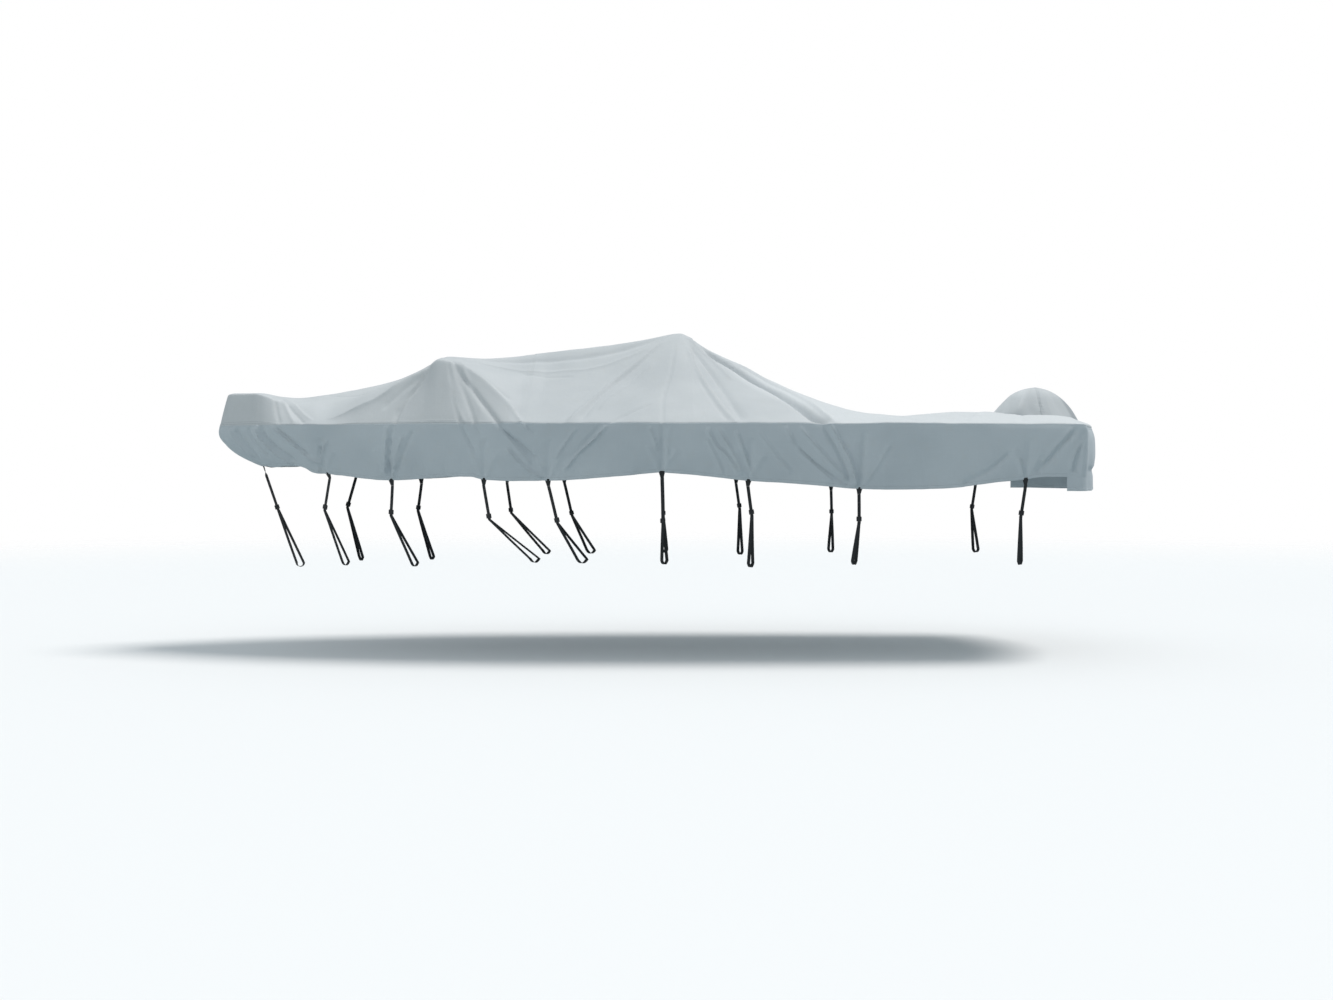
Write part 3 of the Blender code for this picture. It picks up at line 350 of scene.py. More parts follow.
def readTable(rows, x, column):
    # smooth curve through one column that never overshoots its rows
    xs = np.array([row[0] for row in rows])
    ys = np.array([row[column] for row in rows])
    rise = np.diff(ys) / np.diff(xs)
    same = rise[:-1] * rise[1:] > 0
    both = np.where(same, rise[:-1] + rise[1:], 1.0)
    slope = np.concatenate(([0.0], np.where(same, 2 * rise[:-1] * rise[1:] / both, 0.0), [0.0]))
    x = np.clip(x, xs[0], xs[-1])
    k = np.clip(np.searchsorted(xs, x, side="right") - 1, 0, len(xs) - 2)
    step = xs[k + 1] - xs[k]
    t = (x - xs[k]) / step
    ends = ys[k] * (1 + 2 * t) * (1 - t) ** 2 + ys[k + 1] * t * t * (3 - 2 * t)
    return ends + step * t * (1 - t) * (slope[k] * (1 - t) - slope[k + 1] * t)


def smooth(t):
    t = np.clip(t, 0.0, 1.0)
    return t * t * (3 - 2 * t)


def towardsBow(x):
    return np.clip((cover["bowStart"] - x) / cover["bowReach"], 0.0, 1.0)


def halfBeam(x):
    fore = np.maximum(1 - towardsBow(x) ** cover["bowPower"], 0.0) ** cover["bowRound"]
    aft = np.maximum(x - cover["bowStart"], 0.0) / (cover["sternX"] - cover["bowStart"])
    return cover["halfBeam"] * fore - cover["sternNarrow"] * aft ** 2


def edgeHalfBeam(x):
    # the outline with its stern corner rounded off
    r = cover["cornerRound"]
    into = np.clip(x - (cover["sternX"] - r), 0.0, r)
    return halfBeam(x) - r + np.sqrt(r * r - into * into)


def deckHeight(x, v):
    # two straight runs, gunwale to shoulder and shoulder to ridge, with a soft bend between
    step = cover["slopeStep"]
    slope = (halfBeam(x + step) - halfBeam(x - step)) / (2 * step)
    reach = halfBeam(x) / np.hypot(1.0, np.where(x > noseX + step, slope, cover["noseSlope"]))
    soft = cover["ridgeRound"]
    across = (np.hypot(v, soft) - soft) / (math.hypot(1.0, soft) - soft)
    fromEdge = reach * (1 - across)
    ridge, shoulderIn, shoulder = (readTable(sections, x, column) for column in (1, 2, 3))
    lowSlope = shoulder / shoulderIn
    highSlope = (ridge - shoulder) / np.maximum(reach - shoulderIn, cover["leastRun"])
    sign = np.where(lowSlope > highSlope, -1.0, 1.0)

    def bent(d):
        low = lowSlope * d
        high = shoulder + highSlope * (d - shoulderIn)
        return (low + high + sign * np.hypot(low - high, cover["shoulderRound"])) / 2

    height = bent(fromEdge) - bent(0.0) * (1 - fromEdge / np.maximum(reach, step))
    return height * smooth((cover["sternX"] - x) / cover["sternFall"])


def sternShift(x, v):
    span = cover["sternX"] - cover["sternBowFrom"]
    inward, ease = 1 - v * v, cover["cornerEase"]
    bow = (1 + ease) * inward ** 2 / (inward + ease)
    return cover["sternBow"] * bow * smooth((x - cover["sternBowFrom"]) / span)


def endRoll(x):
    # the quarter round by which the cloth falls at the very end of the deck
    r = cover["cornerRound"]
    into = np.clip((x - cover["sternX"]) / r + 1, 0.0, 1.0)
    return -cover["endDrop"] * (1 - np.sqrt(1 - into * into))


def deckPoints(x, v):
    z = gunwaleZ + deckHeight(x, v) + endRoll(x)
    return np.stack((x + sternShift(x, v), v * edgeHalfBeam(x), z), -1)


def sidePoints(x, side, tau):
    # the skirt between gunwale (tau 0) and hem (tau 1)
    t = towardsBow(x)
    tuck = cover["sideTuck"] + cover["bowTuck"] * t ** powers["bowTuck"]
    y = edgeHalfBeam(x) * (1 - tuck * tau ** powers["tuck"])
    bulge = np.sin(math.pi * np.minimum(tau / cover["stemBellyEnd"], 1.0))
    belly = cover["stemBelly"] * t ** powers["belly"] * bulge
    along = x + cover["stemRake"] * t ** powers["rake"] * tau ** powers["rakeDown"] - belly
    z = gunwaleZ + readTable(hemLine, x, 1) * tau + endRoll(x) * (1 - tau)
    return np.stack((along, side * y, z), -1)


def sternPoints(v, tau):
    # billows a little as it hangs, and by the corners it leans in as the side skirts do
    top = deckPoints(np.full_like(v, cover["sternX"]), v)
    byCorner = 1 - smooth((1 - np.abs(v)) * cover["halfBeam"] / cover["cornerBlend"])
    lean = cover["sternLean"] * tau
    lean = lean + (cover["sideTuck"] * tau ** powers["tuck"] - lean) * byCorner
    x = top[..., 0] + readTable(sternBillow, tau, 1) * (1 - byCorner)
    z = top[..., 2] * (1 - tau) + (gunwaleZ + sternHem) * tau
    return np.stack((x, top[..., 1] * (1 - lean), z), -1)


def laidOut(x, down):
    # how far down from the ridge a place lies, measured along the cloth
    beam = halfBeam(x)
    return np.where(down <= 1, down * beam, beam + (down - 1) * cover["skirtDepth"])


def throughPoints(way):
    # smooth line through a few points
    p = [way[0]] + list(way) + [way[-1]]
    count = creaseShape["smoothing"]
    line = []
    for a, b, c, d in zip(p, p[1:], p[2:], p[3:]):
        for k in range(count):
            t = k / count
            line.append(0.5 * (2 * b + (c - a) * t + (2 * a - 5 * b + 4 * c - d) * t ** 2
                               + (3 * b - a - 3 * c + d) * t ** 3))
    return line + [way[-1]]


def layLine(way, shift=0.0):
    # smooth line over the cloth through places given as (x, down)
    points = []
    for x, down in way:
        points.append(np.array((x + shift, float(laidOut(np.array(x + shift), np.array(down))))))
    return throughPoints(points)


def addCrease(total, x, out, line, widths, height, crisp, lean=0.0):
    # raises or sinks the cloth along a line given in (x, out)
    reach = creaseShape["reach"] * max(widths)
    ends = np.array(line)
    low, high = ends.min(0) - reach, ends.max(0) + reach
    near = (x > low[0]) & (x < high[0]) & (out > low[1]) & (out < high[1])
    px, py = x[near], out[near]
    best, along, side = np.full(px.shape, np.inf), np.zeros(px.shape), np.ones(px.shape)
    for k, (a, b) in enumerate(zip(line, line[1:])):
        dx, dy = b[0] - a[0], b[1] - a[1]
        t = np.clip(((px - a[0]) * dx + (py - a[1]) * dy) / (dx * dx + dy * dy), 0, 1)
        gap = (px - a[0] - dx * t) ** 2 + (py - a[1] - dy * t) ** 2
        closer = gap < best
        best[closer] = gap[closer]
        along[closer] = ((k + t) / (len(line) - 1))[closer]
        side[closer] = np.where(dx * (py - a[1]) > dy * (px - a[0]), 1.0, -1.0)[closer]
    width = (widths[0] + (widths[1] - widths[0]) * along) * (1 + lean * side)
    q2 = best / width ** 2
    softShape = np.exp(-q2)
    tip = creaseShape["crispTip"]
    crispShape = np.exp(-creaseShape["crispRate"] * (np.sqrt(q2 + tip) - math.sqrt(tip)))
    fade = smooth(along / creaseShape["fade"]) * smooth((1 - along) / creaseShape["fade"])
    total[near] += height * fade * (softShape + (crispShape - softShape) * crisp)


def creaseField(x, down, side):
    total = np.zeros(x.shape)
    out = laidOut(x, down)
    shift, share = 0.0, 1.0
    if side > 0:
        shift, share = creaseShape["starboardShift"], creaseShape["starboardShare"]
    for way, startWidth, endWidth, height, crisp, lean in creases:
        widths = (startWidth, endWidth)
        addCrease(total, x, out, layLine(way, shift), widths, share * height, crisp, lean)
    for hemX in hemXs:
        for lean, top, height in strapPulls["rays"]:
            bend = (hemX + lean * strapPulls["bendLean"], strapPulls["bend"])
            line = layLine(((hemX, strapPulls["foot"]), bend, (hemX + lean, top)))
            addCrease(total, x, out, line, strapPulls["widths"], height, strapPulls["crisp"])
    return total + unevenness(x, out, side)


def unevenness(x, out, side):
    # long shallow ripples, so that no run of cloth is quite flat
    draw = np.random.RandomState(ripples["seeds"][0 if side < 0 else 1])
    total = np.zeros(x.shape)
    for k in range(ripples["count"]):
        length = ripples["shortest"] * ripples["growth"] ** k
        turn, start = draw.uniform(0, math.pi), draw.uniform(0, 2 * math.pi)
        wave = (x * math.cos(turn) + out * math.sin(turn)) * 2 * math.pi / length + start
        wander = ripples["wander"] * np.sin(ripples["wanderRate"] * x + k)
        total += ripples["height"] * length * np.sin(wave + wander)
    return total


def strapPull(x, tau):
    # each strap draws the hem in
    pull = sum(np.exp(-((x - hemX) / strap["pullWidth"]) ** 2) for hemX in hemXs)
    return -strap["pullDepth"] * pull * tau ** powers["pull"]


def hemSway(x, tau):
    # the free edge waves a little between the straps
    waves = hemWaves
    bend = waves["wander"] * np.sin(waves["wanderRate"] * x)
    wave = (waves["long"] * np.sin(x * waves["longRate"] + bend)
            + waves["short"] * np.sin(x * waves["shortRate"] + waves["shortStart"]))
    return waves["height"] * wave * smooth((tau - waves["from"]) / waves["over"])


def sternFold(v, tau):
    # folds of the transom skirt, given one by one, with a fine ripple towards its hem
    total = np.zeros(v.shape)
    for place, width, height in sternFolds:
        total += height * tau * np.exp(-((v - place) * cover["halfBeam"] / width) ** 2)
    ripple = sternRipple
    wave = np.sin(ripple["rate"] * v + ripple["slant"] * tau)
    return total + ripple["height"] * wave * smooth((tau - ripple["from"]) / ripple["over"])


def seamRise(d):
    # the felled seam stands a little proud beside the seam line and dips on it
    proud = felledSeam["rise"] * smooth((felledSeam["width"] - d) / felledSeam["edge"])
    return proud - felledSeam["dip"] * smooth((felledSeam["dipWidth"] - d) / felledSeam["dipWidth"])


def edgeRounding(d, x):
    # wider and deeper aft, and none at the bow, where block and skirt run into one another
    wider = 1 + cover["looser"] * smooth((x - cover["looseFrom"]) / cover["looseRun"])
    bend = cover["edgeDraw"] * wider * np.exp(-d / (cover["edgeRound"] * wider))
    return -bend * (1 - towardsBow(x) ** powers["flatEdge"])


def hemRise(fromHem):
    # the turned-up hem is a second layer of cloth, with a dip along its stitching
    band = turnedHem["rise"] * smooth((turnedHem["width"] - fromHem) / turnedHem["edge"])
    fromStitches = (fromHem - turnedHem["dipAt"]) / turnedHem["dipWidth"]
    return band - turnedHem["dip"] * np.exp(-fromStitches ** 2)


leastLength = 1e-12


def unit(vectors):
    return vectors / np.maximum(np.linalg.norm(vectors, axis=-1, keepdims=True), leastLength)


def surfaceNormals(points, flip=1.0):
    along = np.gradient(points, axis=0)
    across = np.gradient(points, axis=1)
    return unit(np.cross(along, across) * flip)


def stationList():
    # places along the boat at which the sheets are cut, closest together round nose and corner
    step, span, count = cover["step"], cover["noseSpan"], cover["noseStations"]
    nose = [noseX + span * (k / count) ** (1 / cover["bowRound"]) for k in range(count)]
    straightEnd = cover["sternX"] - cover["cornerRound"]
    wrap = cover["wrapX"]
    run = wrap - noseX - span
    fore = np.arange(noseX + span, wrap - step / 2, run / round(run / step))
    aft = np.linspace(wrap, straightEnd, cover["wrapStations"])
    corner = [straightEnd + cover["cornerRound"] * math.sin(math.radians(turn))
              for turn in range(cover["cornerStep"], 90 + 1, cover["cornerStep"])]
    return np.array(nose + list(fore) + list(aft) + corner)


# distances from a seam and from a hem at which the sheets are cut
seamRows = (0.0, 0.0025, 0.005, 0.0115, 0.0135, 0.020, 0.031)
hemRows = (0.036, 0.030, 0.0285, 0.027, 0.0245, 0.022, 0.014, 0.005, 0.0)


def acrossRows(beam):
    # shares of the half beam from port gunwale to ridge, close together by the seam
    scale = min(1.0, beam / cover["narrowBeam"])
    near = [1 - d * scale / max(beam, cover["leastBeam"]) for d in seamRows]
    inner = int((cover["halfBeam"] - seamRows[-1]) / cover["step"])
    far = list(near[-1] * (1 - np.arange(1, inner + 1) / inner))
    return np.array(near + far)


def downRows(depth):
    # shares of the way down a skirt, close together by its seam and by its hem
    near = [d / depth for d in seamRows]
    low = [1 - d / depth for d in hemRows]
    count = int((cover["skirtDepth"] - seamRows[-1] - hemRows[0]) / cover["downStep"])
    middle = [near[-1] + (low[0] - near[-1]) * k / count for k in range(1, count)]
    return np.array(near + middle + low)


def repeatAcross(values, count):
    return np.repeat(values[:, None], count, 1)


stations = stationList()
stations[0] = noseX + cover["noseGap"]
rowsAcross = np.stack([acrossRows(float(edgeHalfBeam(x))) for x in stations])
vGrid = np.concatenate((-rowsAcross, rowsAcross[:, -2::-1]), 1)
xGrid = repeatAcross(stations, vGrid.shape[1])
depths = -readTable(hemLine, stations, 1)
tauGrid = np.stack([downRows(depth) for depth in depths])
xSide = repeatAcross(stations, tauGrid.shape[1])
print("stations:", len(stations), "rows across:", vGrid.shape[1], "rows down:", tauGrid.shape[1])


def makePanels():
    deck = deckPoints(xGrid, vGrid)
    deckOut = surfaceNormals(deck)
    sides = {side: sidePoints(xSide, side, tauGrid) for side in (-1, 1)}
    sideOut = {side: surfaceNormals(sides[side], side) for side in (-1, 1)}
    sternTau = downRows(-sternHem)
    across = repeatAcross(vGrid[-1], len(sternTau))
    tau = np.repeat(sternTau[None, :], len(across), 0)
    stern = sternPoints(across, tau)
    sternOut = surfaceNormals(stern, -1.0)

    beam = edgeHalfBeam(xGrid)
    fromSeam = (1 - np.abs(vGrid)) * beam
    fromStern = np.maximum(cover["sternX"] - xGrid, 0.0)
    sideShare = np.exp(-fromSeam / cover["blend"])[..., None]
    sternShare = np.exp(-fromStern / cover["blend"])[..., None]
    topOut = np.where(vGrid[..., None] < 0, sideOut[-1][:, :1], sideOut[1][:, :1])
    out = unit(deckOut + sideShare * topOut + sternShare * sternOut[None, :, 0])
    portFold, starboardFold = (creaseField(xGrid, np.abs(vGrid), side) for side in (-1, 1))
    fold = np.where(vGrid < 0, portFold, starboardFold)
    both = (portFold + starboardFold) / 2
    fold = both + (fold - both) * smooth(np.abs(vGrid) * beam / cover["ridgeBlend"])
    fold = fold * smooth(fromStern / cover["sternFall"])
    fold += seamRise(fromSeam) + edgeRounding(np.minimum(fromSeam, fromStern), xGrid)
    deck = deck + out * fold[..., None]
    deckV = np.sign(vGrid) * fromSeam

    panels = {}
    for side in (-1, 1):
        edge = 0 if side < 0 else -1
        down = tauGrid * depths[:, None]
        deckShare = np.exp(-down / cover["blend"])[..., None]
        out = unit(sideOut[side] + deckShare * deckOut[:, edge][:, None])
        deeper = 1 + cover["skirtFolds"] * smooth(tauGrid / cover["foldsGrown"])
        fold = (creaseField(xSide, 1 + tauGrid, side) * deeper + strapPull(xSide, tauGrid)
                + hemSway(xSide, tauGrid))
        fold = fold * smooth((stations - noseX) / cover["noseFade"])[:, None]
        fold = fold * smooth((cover["sternX"] - xSide) / cover["cornerFade"])
        fromHem = np.maximum(1 - tauGrid, 0.0) * depths[:, None]
        hemBand = np.where(xSide > cover["wrapX"] - cover["step"] / 2, 0.0, hemRise(fromHem))
        fold += seamRise(down) + edgeRounding(down, xSide) + hemBand
        points = sides[side] + out * fold[..., None]
        points[:, 0] = deck[:, edge]
        panels[side] = {"points": points, "along": xSide, "fromHem": fromHem, "down": down}

    down = tau * -sternHem
    deckShare = np.exp(-down / cover["blend"])[..., None]
    out = unit(sternOut + deckShare * deckOut[-1][:, None])
    fromCorner = (1 - np.abs(across)) * cover["halfBeam"]
    fold = sternFold(across, tau) * smooth(fromCorner / cover["cornerFade"])
    fold = fold + seamRise(down) + edgeRounding(down, stern[..., 0])
    stern = stern + out * fold[..., None]
    stern[:, 0] = deck[-1]
    for edge, side in ((0, -1), (-1, 1)):
        stern[edge] = panels[side]["points"][-1]
    return deck, deckV, panels, stern, down


def gridMesh(name, points, uvs, flip=False, keep=None):
    rows, cols = points.shape[:2]
    index = np.arange(rows * cols).reshape(rows, cols)
    order = (index[:-1, :-1], index[1:, :-1], index[1:, 1:], index[:-1, 1:])
    quads = np.stack(order[::-1] if flip else order, -1)
    quads = quads[keep] if keep is not None else quads.reshape(-1, 4)
    mesh = bpy.data.meshes.new(name)
    mesh.from_pydata(points.reshape(-1, 3).tolist(), [], quads.tolist())
    corners = np.zeros(len(mesh.loops), dtype=np.int32)
    mesh.loops.foreach_get("vertex_index", corners)
    for label, (u, v) in uvs.items():
        layer = mesh.uv_layers.new(name=label)
        flat = np.stack((u.reshape(-1)[corners], v.reshape(-1)[corners]), -1)
        layer.data.foreach_set("uv", flat.astype(np.float32).reshape(-1))
    mesh.update()
    return mesh


def linkPiece(name, data):
    piece = bpy.data.objects.new(name, data)
    bpy.context.scene.collection.objects.link(piece)
    return piece


def addPiece(name, mesh, material, merge=0.0):
    shape = bmesh.new()
    shape.from_mesh(mesh)
    if merge:
        bmesh.ops.remove_doubles(shape, verts=shape.verts, dist=merge)
    loose = [v for v in shape.verts if not v.link_faces]
    bmesh.ops.delete(shape, geom=loose, context="VERTS")
    shape.to_mesh(mesh)
    shape.free()
    mesh.shade_smooth()
    mesh.materials.clear()
    mesh.materials.append(material)
    return linkPiece(name, mesh)


def selectOnly(piece):
    bpy.ops.object.select_all(action="DESELECT")
    piece.select_set(True)
    bpy.context.view_layer.objects.active = piece


def smoothByAngle(degrees):
    bpy.ops.object.shade_smooth_by_angle(angle=math.radians(degrees))


def applyModifiers(piece):
    selectOnly(piece)
    for modifier in list(piece.modifiers):
        bpy.ops.object.modifier_apply(modifier=modifier.name)


def thicken(piece, thick):
    solid = piece.modifiers.new("thick", "SOLIDIFY")
    solid.thickness = thick
    solid.offset = 0.0
    solid.use_rim = True
    applyModifiers(piece)


def addCloth(name, points, cloth, seam, material, merge=0.0, flip=True):
    # a panel of its own thickness, with a map of its weave and one of its seam
    mesh = gridMesh(name, points, {"cloth": cloth, "seam": seam}, flip=flip)
    piece = addPiece(name, mesh, material, merge)
    thicken(piece, cover["thick"])
    smoothByAngle(cover["smoothAngle"])
    return piece


def give(tree, given, socket):
    # a socket is linked, a colour or a number is set
    if isinstance(given, bpy.types.NodeSocket):
        tree.links.new(given, socket)
    else:
        socket.default_value = (*given, 1.0) if isinstance(given, tuple) else given


def value(tree, operation, *inputs, clamp=False):
    node = tree.nodes.new("ShaderNodeMath")
    node.operation = operation
    node.use_clamp = clamp
    for socket, given in zip(node.inputs, inputs):
        give(tree, given, socket)
    return node.outputs[0]


def ramp(tree, given, low, high, outLow=0.0, outHigh=1.0):
    node = tree.nodes.new("ShaderNodeMapRange")
    node.interpolation_type = "SMOOTHSTEP"
    for label, number in (("Value", given), ("From Min", low), ("From Max", high),
                          ("To Min", outLow), ("To Max", outHigh)):
        give(tree, number, node.inputs[label])
    return node.outputs["Result"]


def mixColour(tree, factor, first, second):
    # among the node's many sockets, 0 is the factor, 6 and 7 take the colours and 2 gives the mix
    node = tree.nodes.new("ShaderNodeMix")
    node.data_type = "RGBA"
    for place, given in ((0, factor), (6, first), (7, second)):
        give(tree, given, node.inputs[place])
    return node.outputs[2]


def noise(tree, vector, scale, detail=2.0):
    node = tree.nodes.new("ShaderNodeTexNoise")
    give(tree, vector, node.inputs["Vector"])
    give(tree, scale, node.inputs["Scale"])
    give(tree, detail, node.inputs["Detail"])
    return node.outputs["Fac"]


def splitAxes(tree, vector):
    node = tree.nodes.new("ShaderNodeSeparateXYZ")
    tree.links.new(vector, node.inputs[0])
    return node.outputs


def objectPlace(tree):
    return tree.nodes.new("ShaderNodeTexCoord").outputs["Object"]


def stretch(tree, vector, scale):
    node = tree.nodes.new("ShaderNodeMapping")
    node.inputs["Scale"].default_value = scale
    tree.links.new(vector, node.inputs["Vector"])
    return node.outputs["Vector"]


def newGroup(name, inputs, outputs):
    tree = bpy.data.node_groups.new(name, "ShaderNodeTree")
    for label, kind, start in inputs:
        socket = tree.interface.new_socket(label, in_out="INPUT", socket_type=kind)
        if start is not None:
            socket.default_value = start
    for label, kind in outputs:
        tree.interface.new_socket(label, in_out="OUTPUT", socket_type=kind)
    return tree, tree.nodes.new("NodeGroupInput"), tree.nodes.new("NodeGroupOutput")


weaveLook = {
    "threads": 900.0,
    "slubLong": (6.0, 420.0, 1.0),      # thick and thin places drawn out along each thread
    "slubShort": (420.0, 6.0, 1.0),
}


def makeWeaveGroup():
    # plain weave: each thread passes over one and under the next
    tree, given, made = newGroup(
        "plainWeave",
        (("Vector", "NodeSocketVector", None),
         ("Threads per metre", "NodeSocketFloat", weaveLook["threads"])),
        (("Height", "NodeSocketFloat"), ("Slub", "NodeSocketFloat")))
    vector, threads = given.outputs["Vector"], given.outputs["Threads per metre"]
    axes = splitAxes(tree, vector)
    u, v = (value(tree, "MULTIPLY", axes[axis], threads) for axis in ("X", "Y"))
    warp, weft = (value(tree, "ABSOLUTE", value(tree, "SINE", value(tree, "MULTIPLY", turn, math.pi)))
                  for turn in (u, v))
    cells = value(tree, "ADD", value(tree, "FLOOR", u), value(tree, "FLOOR", v))
    over = value(tree, "FLOORED_MODULO", cells, 2.0)
    swap = value(tree, "SUBTRACT", weft, warp)
    tree.links.new(value(tree, "MULTIPLY_ADD", over, swap, warp), made.inputs["Height"])
    long, short = (noise(tree, stretch(tree, vector, weaveLook[run]), 1.0)
                   for run in ("slubLong", "slubShort"))
    tree.links.new(value(tree, "MULTIPLY", value(tree, "ADD", long, short), 0.5), made.inputs["Slub"])
    return tree


weatherLook = {
    "size": 1.6,
    "dustSize": 14.0,
    "crumpleSize": 30.0,
    "detail": 4.0,
    "fade": (0.32, 0.68),
    "dust": (0.52, 0.76),
}


def makeWeatherGroup():
    # broad patches of fading and a finer bloom of dust
    tree, given, made = newGroup(
        "weathering",
        (("Vector", "NodeSocketVector", None), ("Size", "NodeSocketFloat", weatherLook["size"]),
         ("Dust size", "NodeSocketFloat", weatherLook["dustSize"])),
        (("Fade", "NodeSocketFloat"), ("Dust", "NodeSocketFloat"), ("Crumple", "NodeSocketFloat")))
    vector, detail = given.outputs["Vector"], weatherLook["detail"]
    broad = noise(tree, vector, given.outputs["Size"], detail)
    fine = noise(tree, vector, given.outputs["Dust size"], detail)
    tree.links.new(ramp(tree, broad, *weatherLook["fade"]), made.inputs["Fade"])
    tree.links.new(ramp(tree, fine, *weatherLook["dust"]), made.inputs["Dust"])
    tree.links.new(noise(tree, vector, weatherLook["crumpleSize"]), made.inputs["Crumple"])
    return tree


stitchLook = {
    "place": 0.0245,
    "pitch": 0.0038,
    "width": 0.0009,
    "core": 0.4,                # share of the width in which the thread is at its full
    "dash": (0.30, 0.42),       # ends of a stitch, in shares of the pitch from its middle
    "dipWidth": 3.0,            # in widths of the thread
}


def makeStitchGroup():
    # one row of stitches, a given distance from an edge
    tree, given, made = newGroup(
        "stitchRow",
        (("Vector", "NodeSocketVector", None), ("Place", "NodeSocketFloat", stitchLook["place"]),
         ("Pitch", "NodeSocketFloat", stitchLook["pitch"]),
         ("Width", "NodeSocketFloat", stitchLook["width"])),
        (("Mask", "NodeSocketFloat"), ("Dip", "NodeSocketFloat")))
    axes, width = splitAxes(tree, given.outputs["Vector"]), given.outputs["Width"]
    gap = value(tree, "ABSOLUTE", value(tree, "SUBTRACT", axes["Y"], given.outputs["Place"]))
    row = ramp(tree, gap, value(tree, "MULTIPLY", width, stitchLook["core"]), width, 1.0, 0.0)
    part = value(tree, "FRACT", value(tree, "DIVIDE", axes["X"], given.outputs["Pitch"]))
    ends = value(tree, "ABSOLUTE", value(tree, "SUBTRACT", part, 0.5))
    dash = ramp(tree, ends, *stitchLook["dash"], 1.0, 0.0)
    tree.links.new(value(tree, "MULTIPLY", row, dash), made.inputs["Mask"])
    wide = ramp(tree, gap, 0.0, value(tree, "MULTIPLY", width, stitchLook["dipWidth"]), 1.0, 0.0)
    tree.links.new(wide, made.inputs["Dip"])
    return tree


weaveGroup = makeWeaveGroup()
weatherGroup = makeWeatherGroup()
stitchGroup = makeStitchGroup()


def placeGroup(tree, group, vector, **settings):
    node = tree.nodes.new("ShaderNodeGroup")
    node.node_tree = group
    tree.links.new(vector, node.inputs["Vector"])
    for label, number in settings.items():
        node.inputs[label.replace("_", " ")].default_value = number
    return node


def uvMap(tree, name):
    node = tree.nodes.new("ShaderNodeUVMap")
    node.uv_map = name
    return node.outputs["UV"]


def addBump(tree, height, bump, onto=None):
    # bump holds the height of the relief and its strength
    node = tree.nodes.new("ShaderNodeBump")
    node.inputs["Distance"].default_value, node.inputs["Strength"].default_value = bump
    tree.links.new(height, node.inputs["Height"])
    if onto is not None:
        tree.links.new(onto, node.inputs["Normal"])
    return node.outputs["Normal"]


def newMaterial(name):
    material = bpy.data.materials.new(name)
    material.use_nodes = True
    tree = material.node_tree
    return material, tree, tree.nodes["Principled BSDF"]


clothLook = {
    "light": (0.545, 0.570, 0.585),
    "faded": (0.600, 0.622, 0.634),
    "shade": (0.470, 0.500, 0.520),
    "thread": (0.36, 0.39, 0.41),
    "dust": (0.56, 0.55, 0.51),
    "dustAmount": 0.10,
    "threadsPerMetre": 1100.0,
    # painted light and painted shade: a lighter and a darker tone of the cloth
    "paintedLight": (0.700, 0.722, 0.734),
    "paintedShade": (0.375, 0.398, 0.420),
    "roughness": 0.84,
    "dustRoughness": 0.07,
    "sheen": 0.12,
    "sheenRoughness": 0.45,
    "specular": 0.32,
    "slub": (0.38, 0.62),
    "slubAmount": 0.16,
    "gaps": (0.0, 0.5, 0.20, 0.0),      # between the threads, by their height: from, to, most, least
    "threadRise": 0.7,
    "crumpleBump": (0.0016, 0.6),
    "weaveBump": (0.00012, 0.7),
    "stitchBump": (0.0006, 0.8),
}
# painted light and shade, laid on as a lighter or darker tone of the cloth: outward and upward
# slope of the edge, where the tone starts and where it is full, which tone, how much of it
# painted light: the deck aft of the tall support is lighter
deckPaintedLight = ((-0.86, 0.0, 0.10, 0.32, "paintedLight", 0.85),)
# painted light on the hood's fore face and painted shade on its aft face
hoodPaintedLightAndShade = (
    (0.0, -0.55, 3.190, 3.125, "paintedLight", 0.75),
    (0.0, 0.50, 2.878, 2.904, "paintedShade", 0.80),
)


def paintedToneMask(tree, place, outSlope, upSlope, start, full):
    # share of a painted tone, lighter for painted light and darker for painted shade, with an edge that
    # runs aslant
    axes = splitAxes(tree, place)
    out = value(tree, "MULTIPLY", value(tree, "ABSOLUTE", axes["Y"]), outSlope)
    aft = value(tree, "ADD", axes["X"], out)
    aft = value(tree, "ADD", aft, value(tree, "MULTIPLY", axes["Z"], upSlope))
    return ramp(tree, aft, start, full)


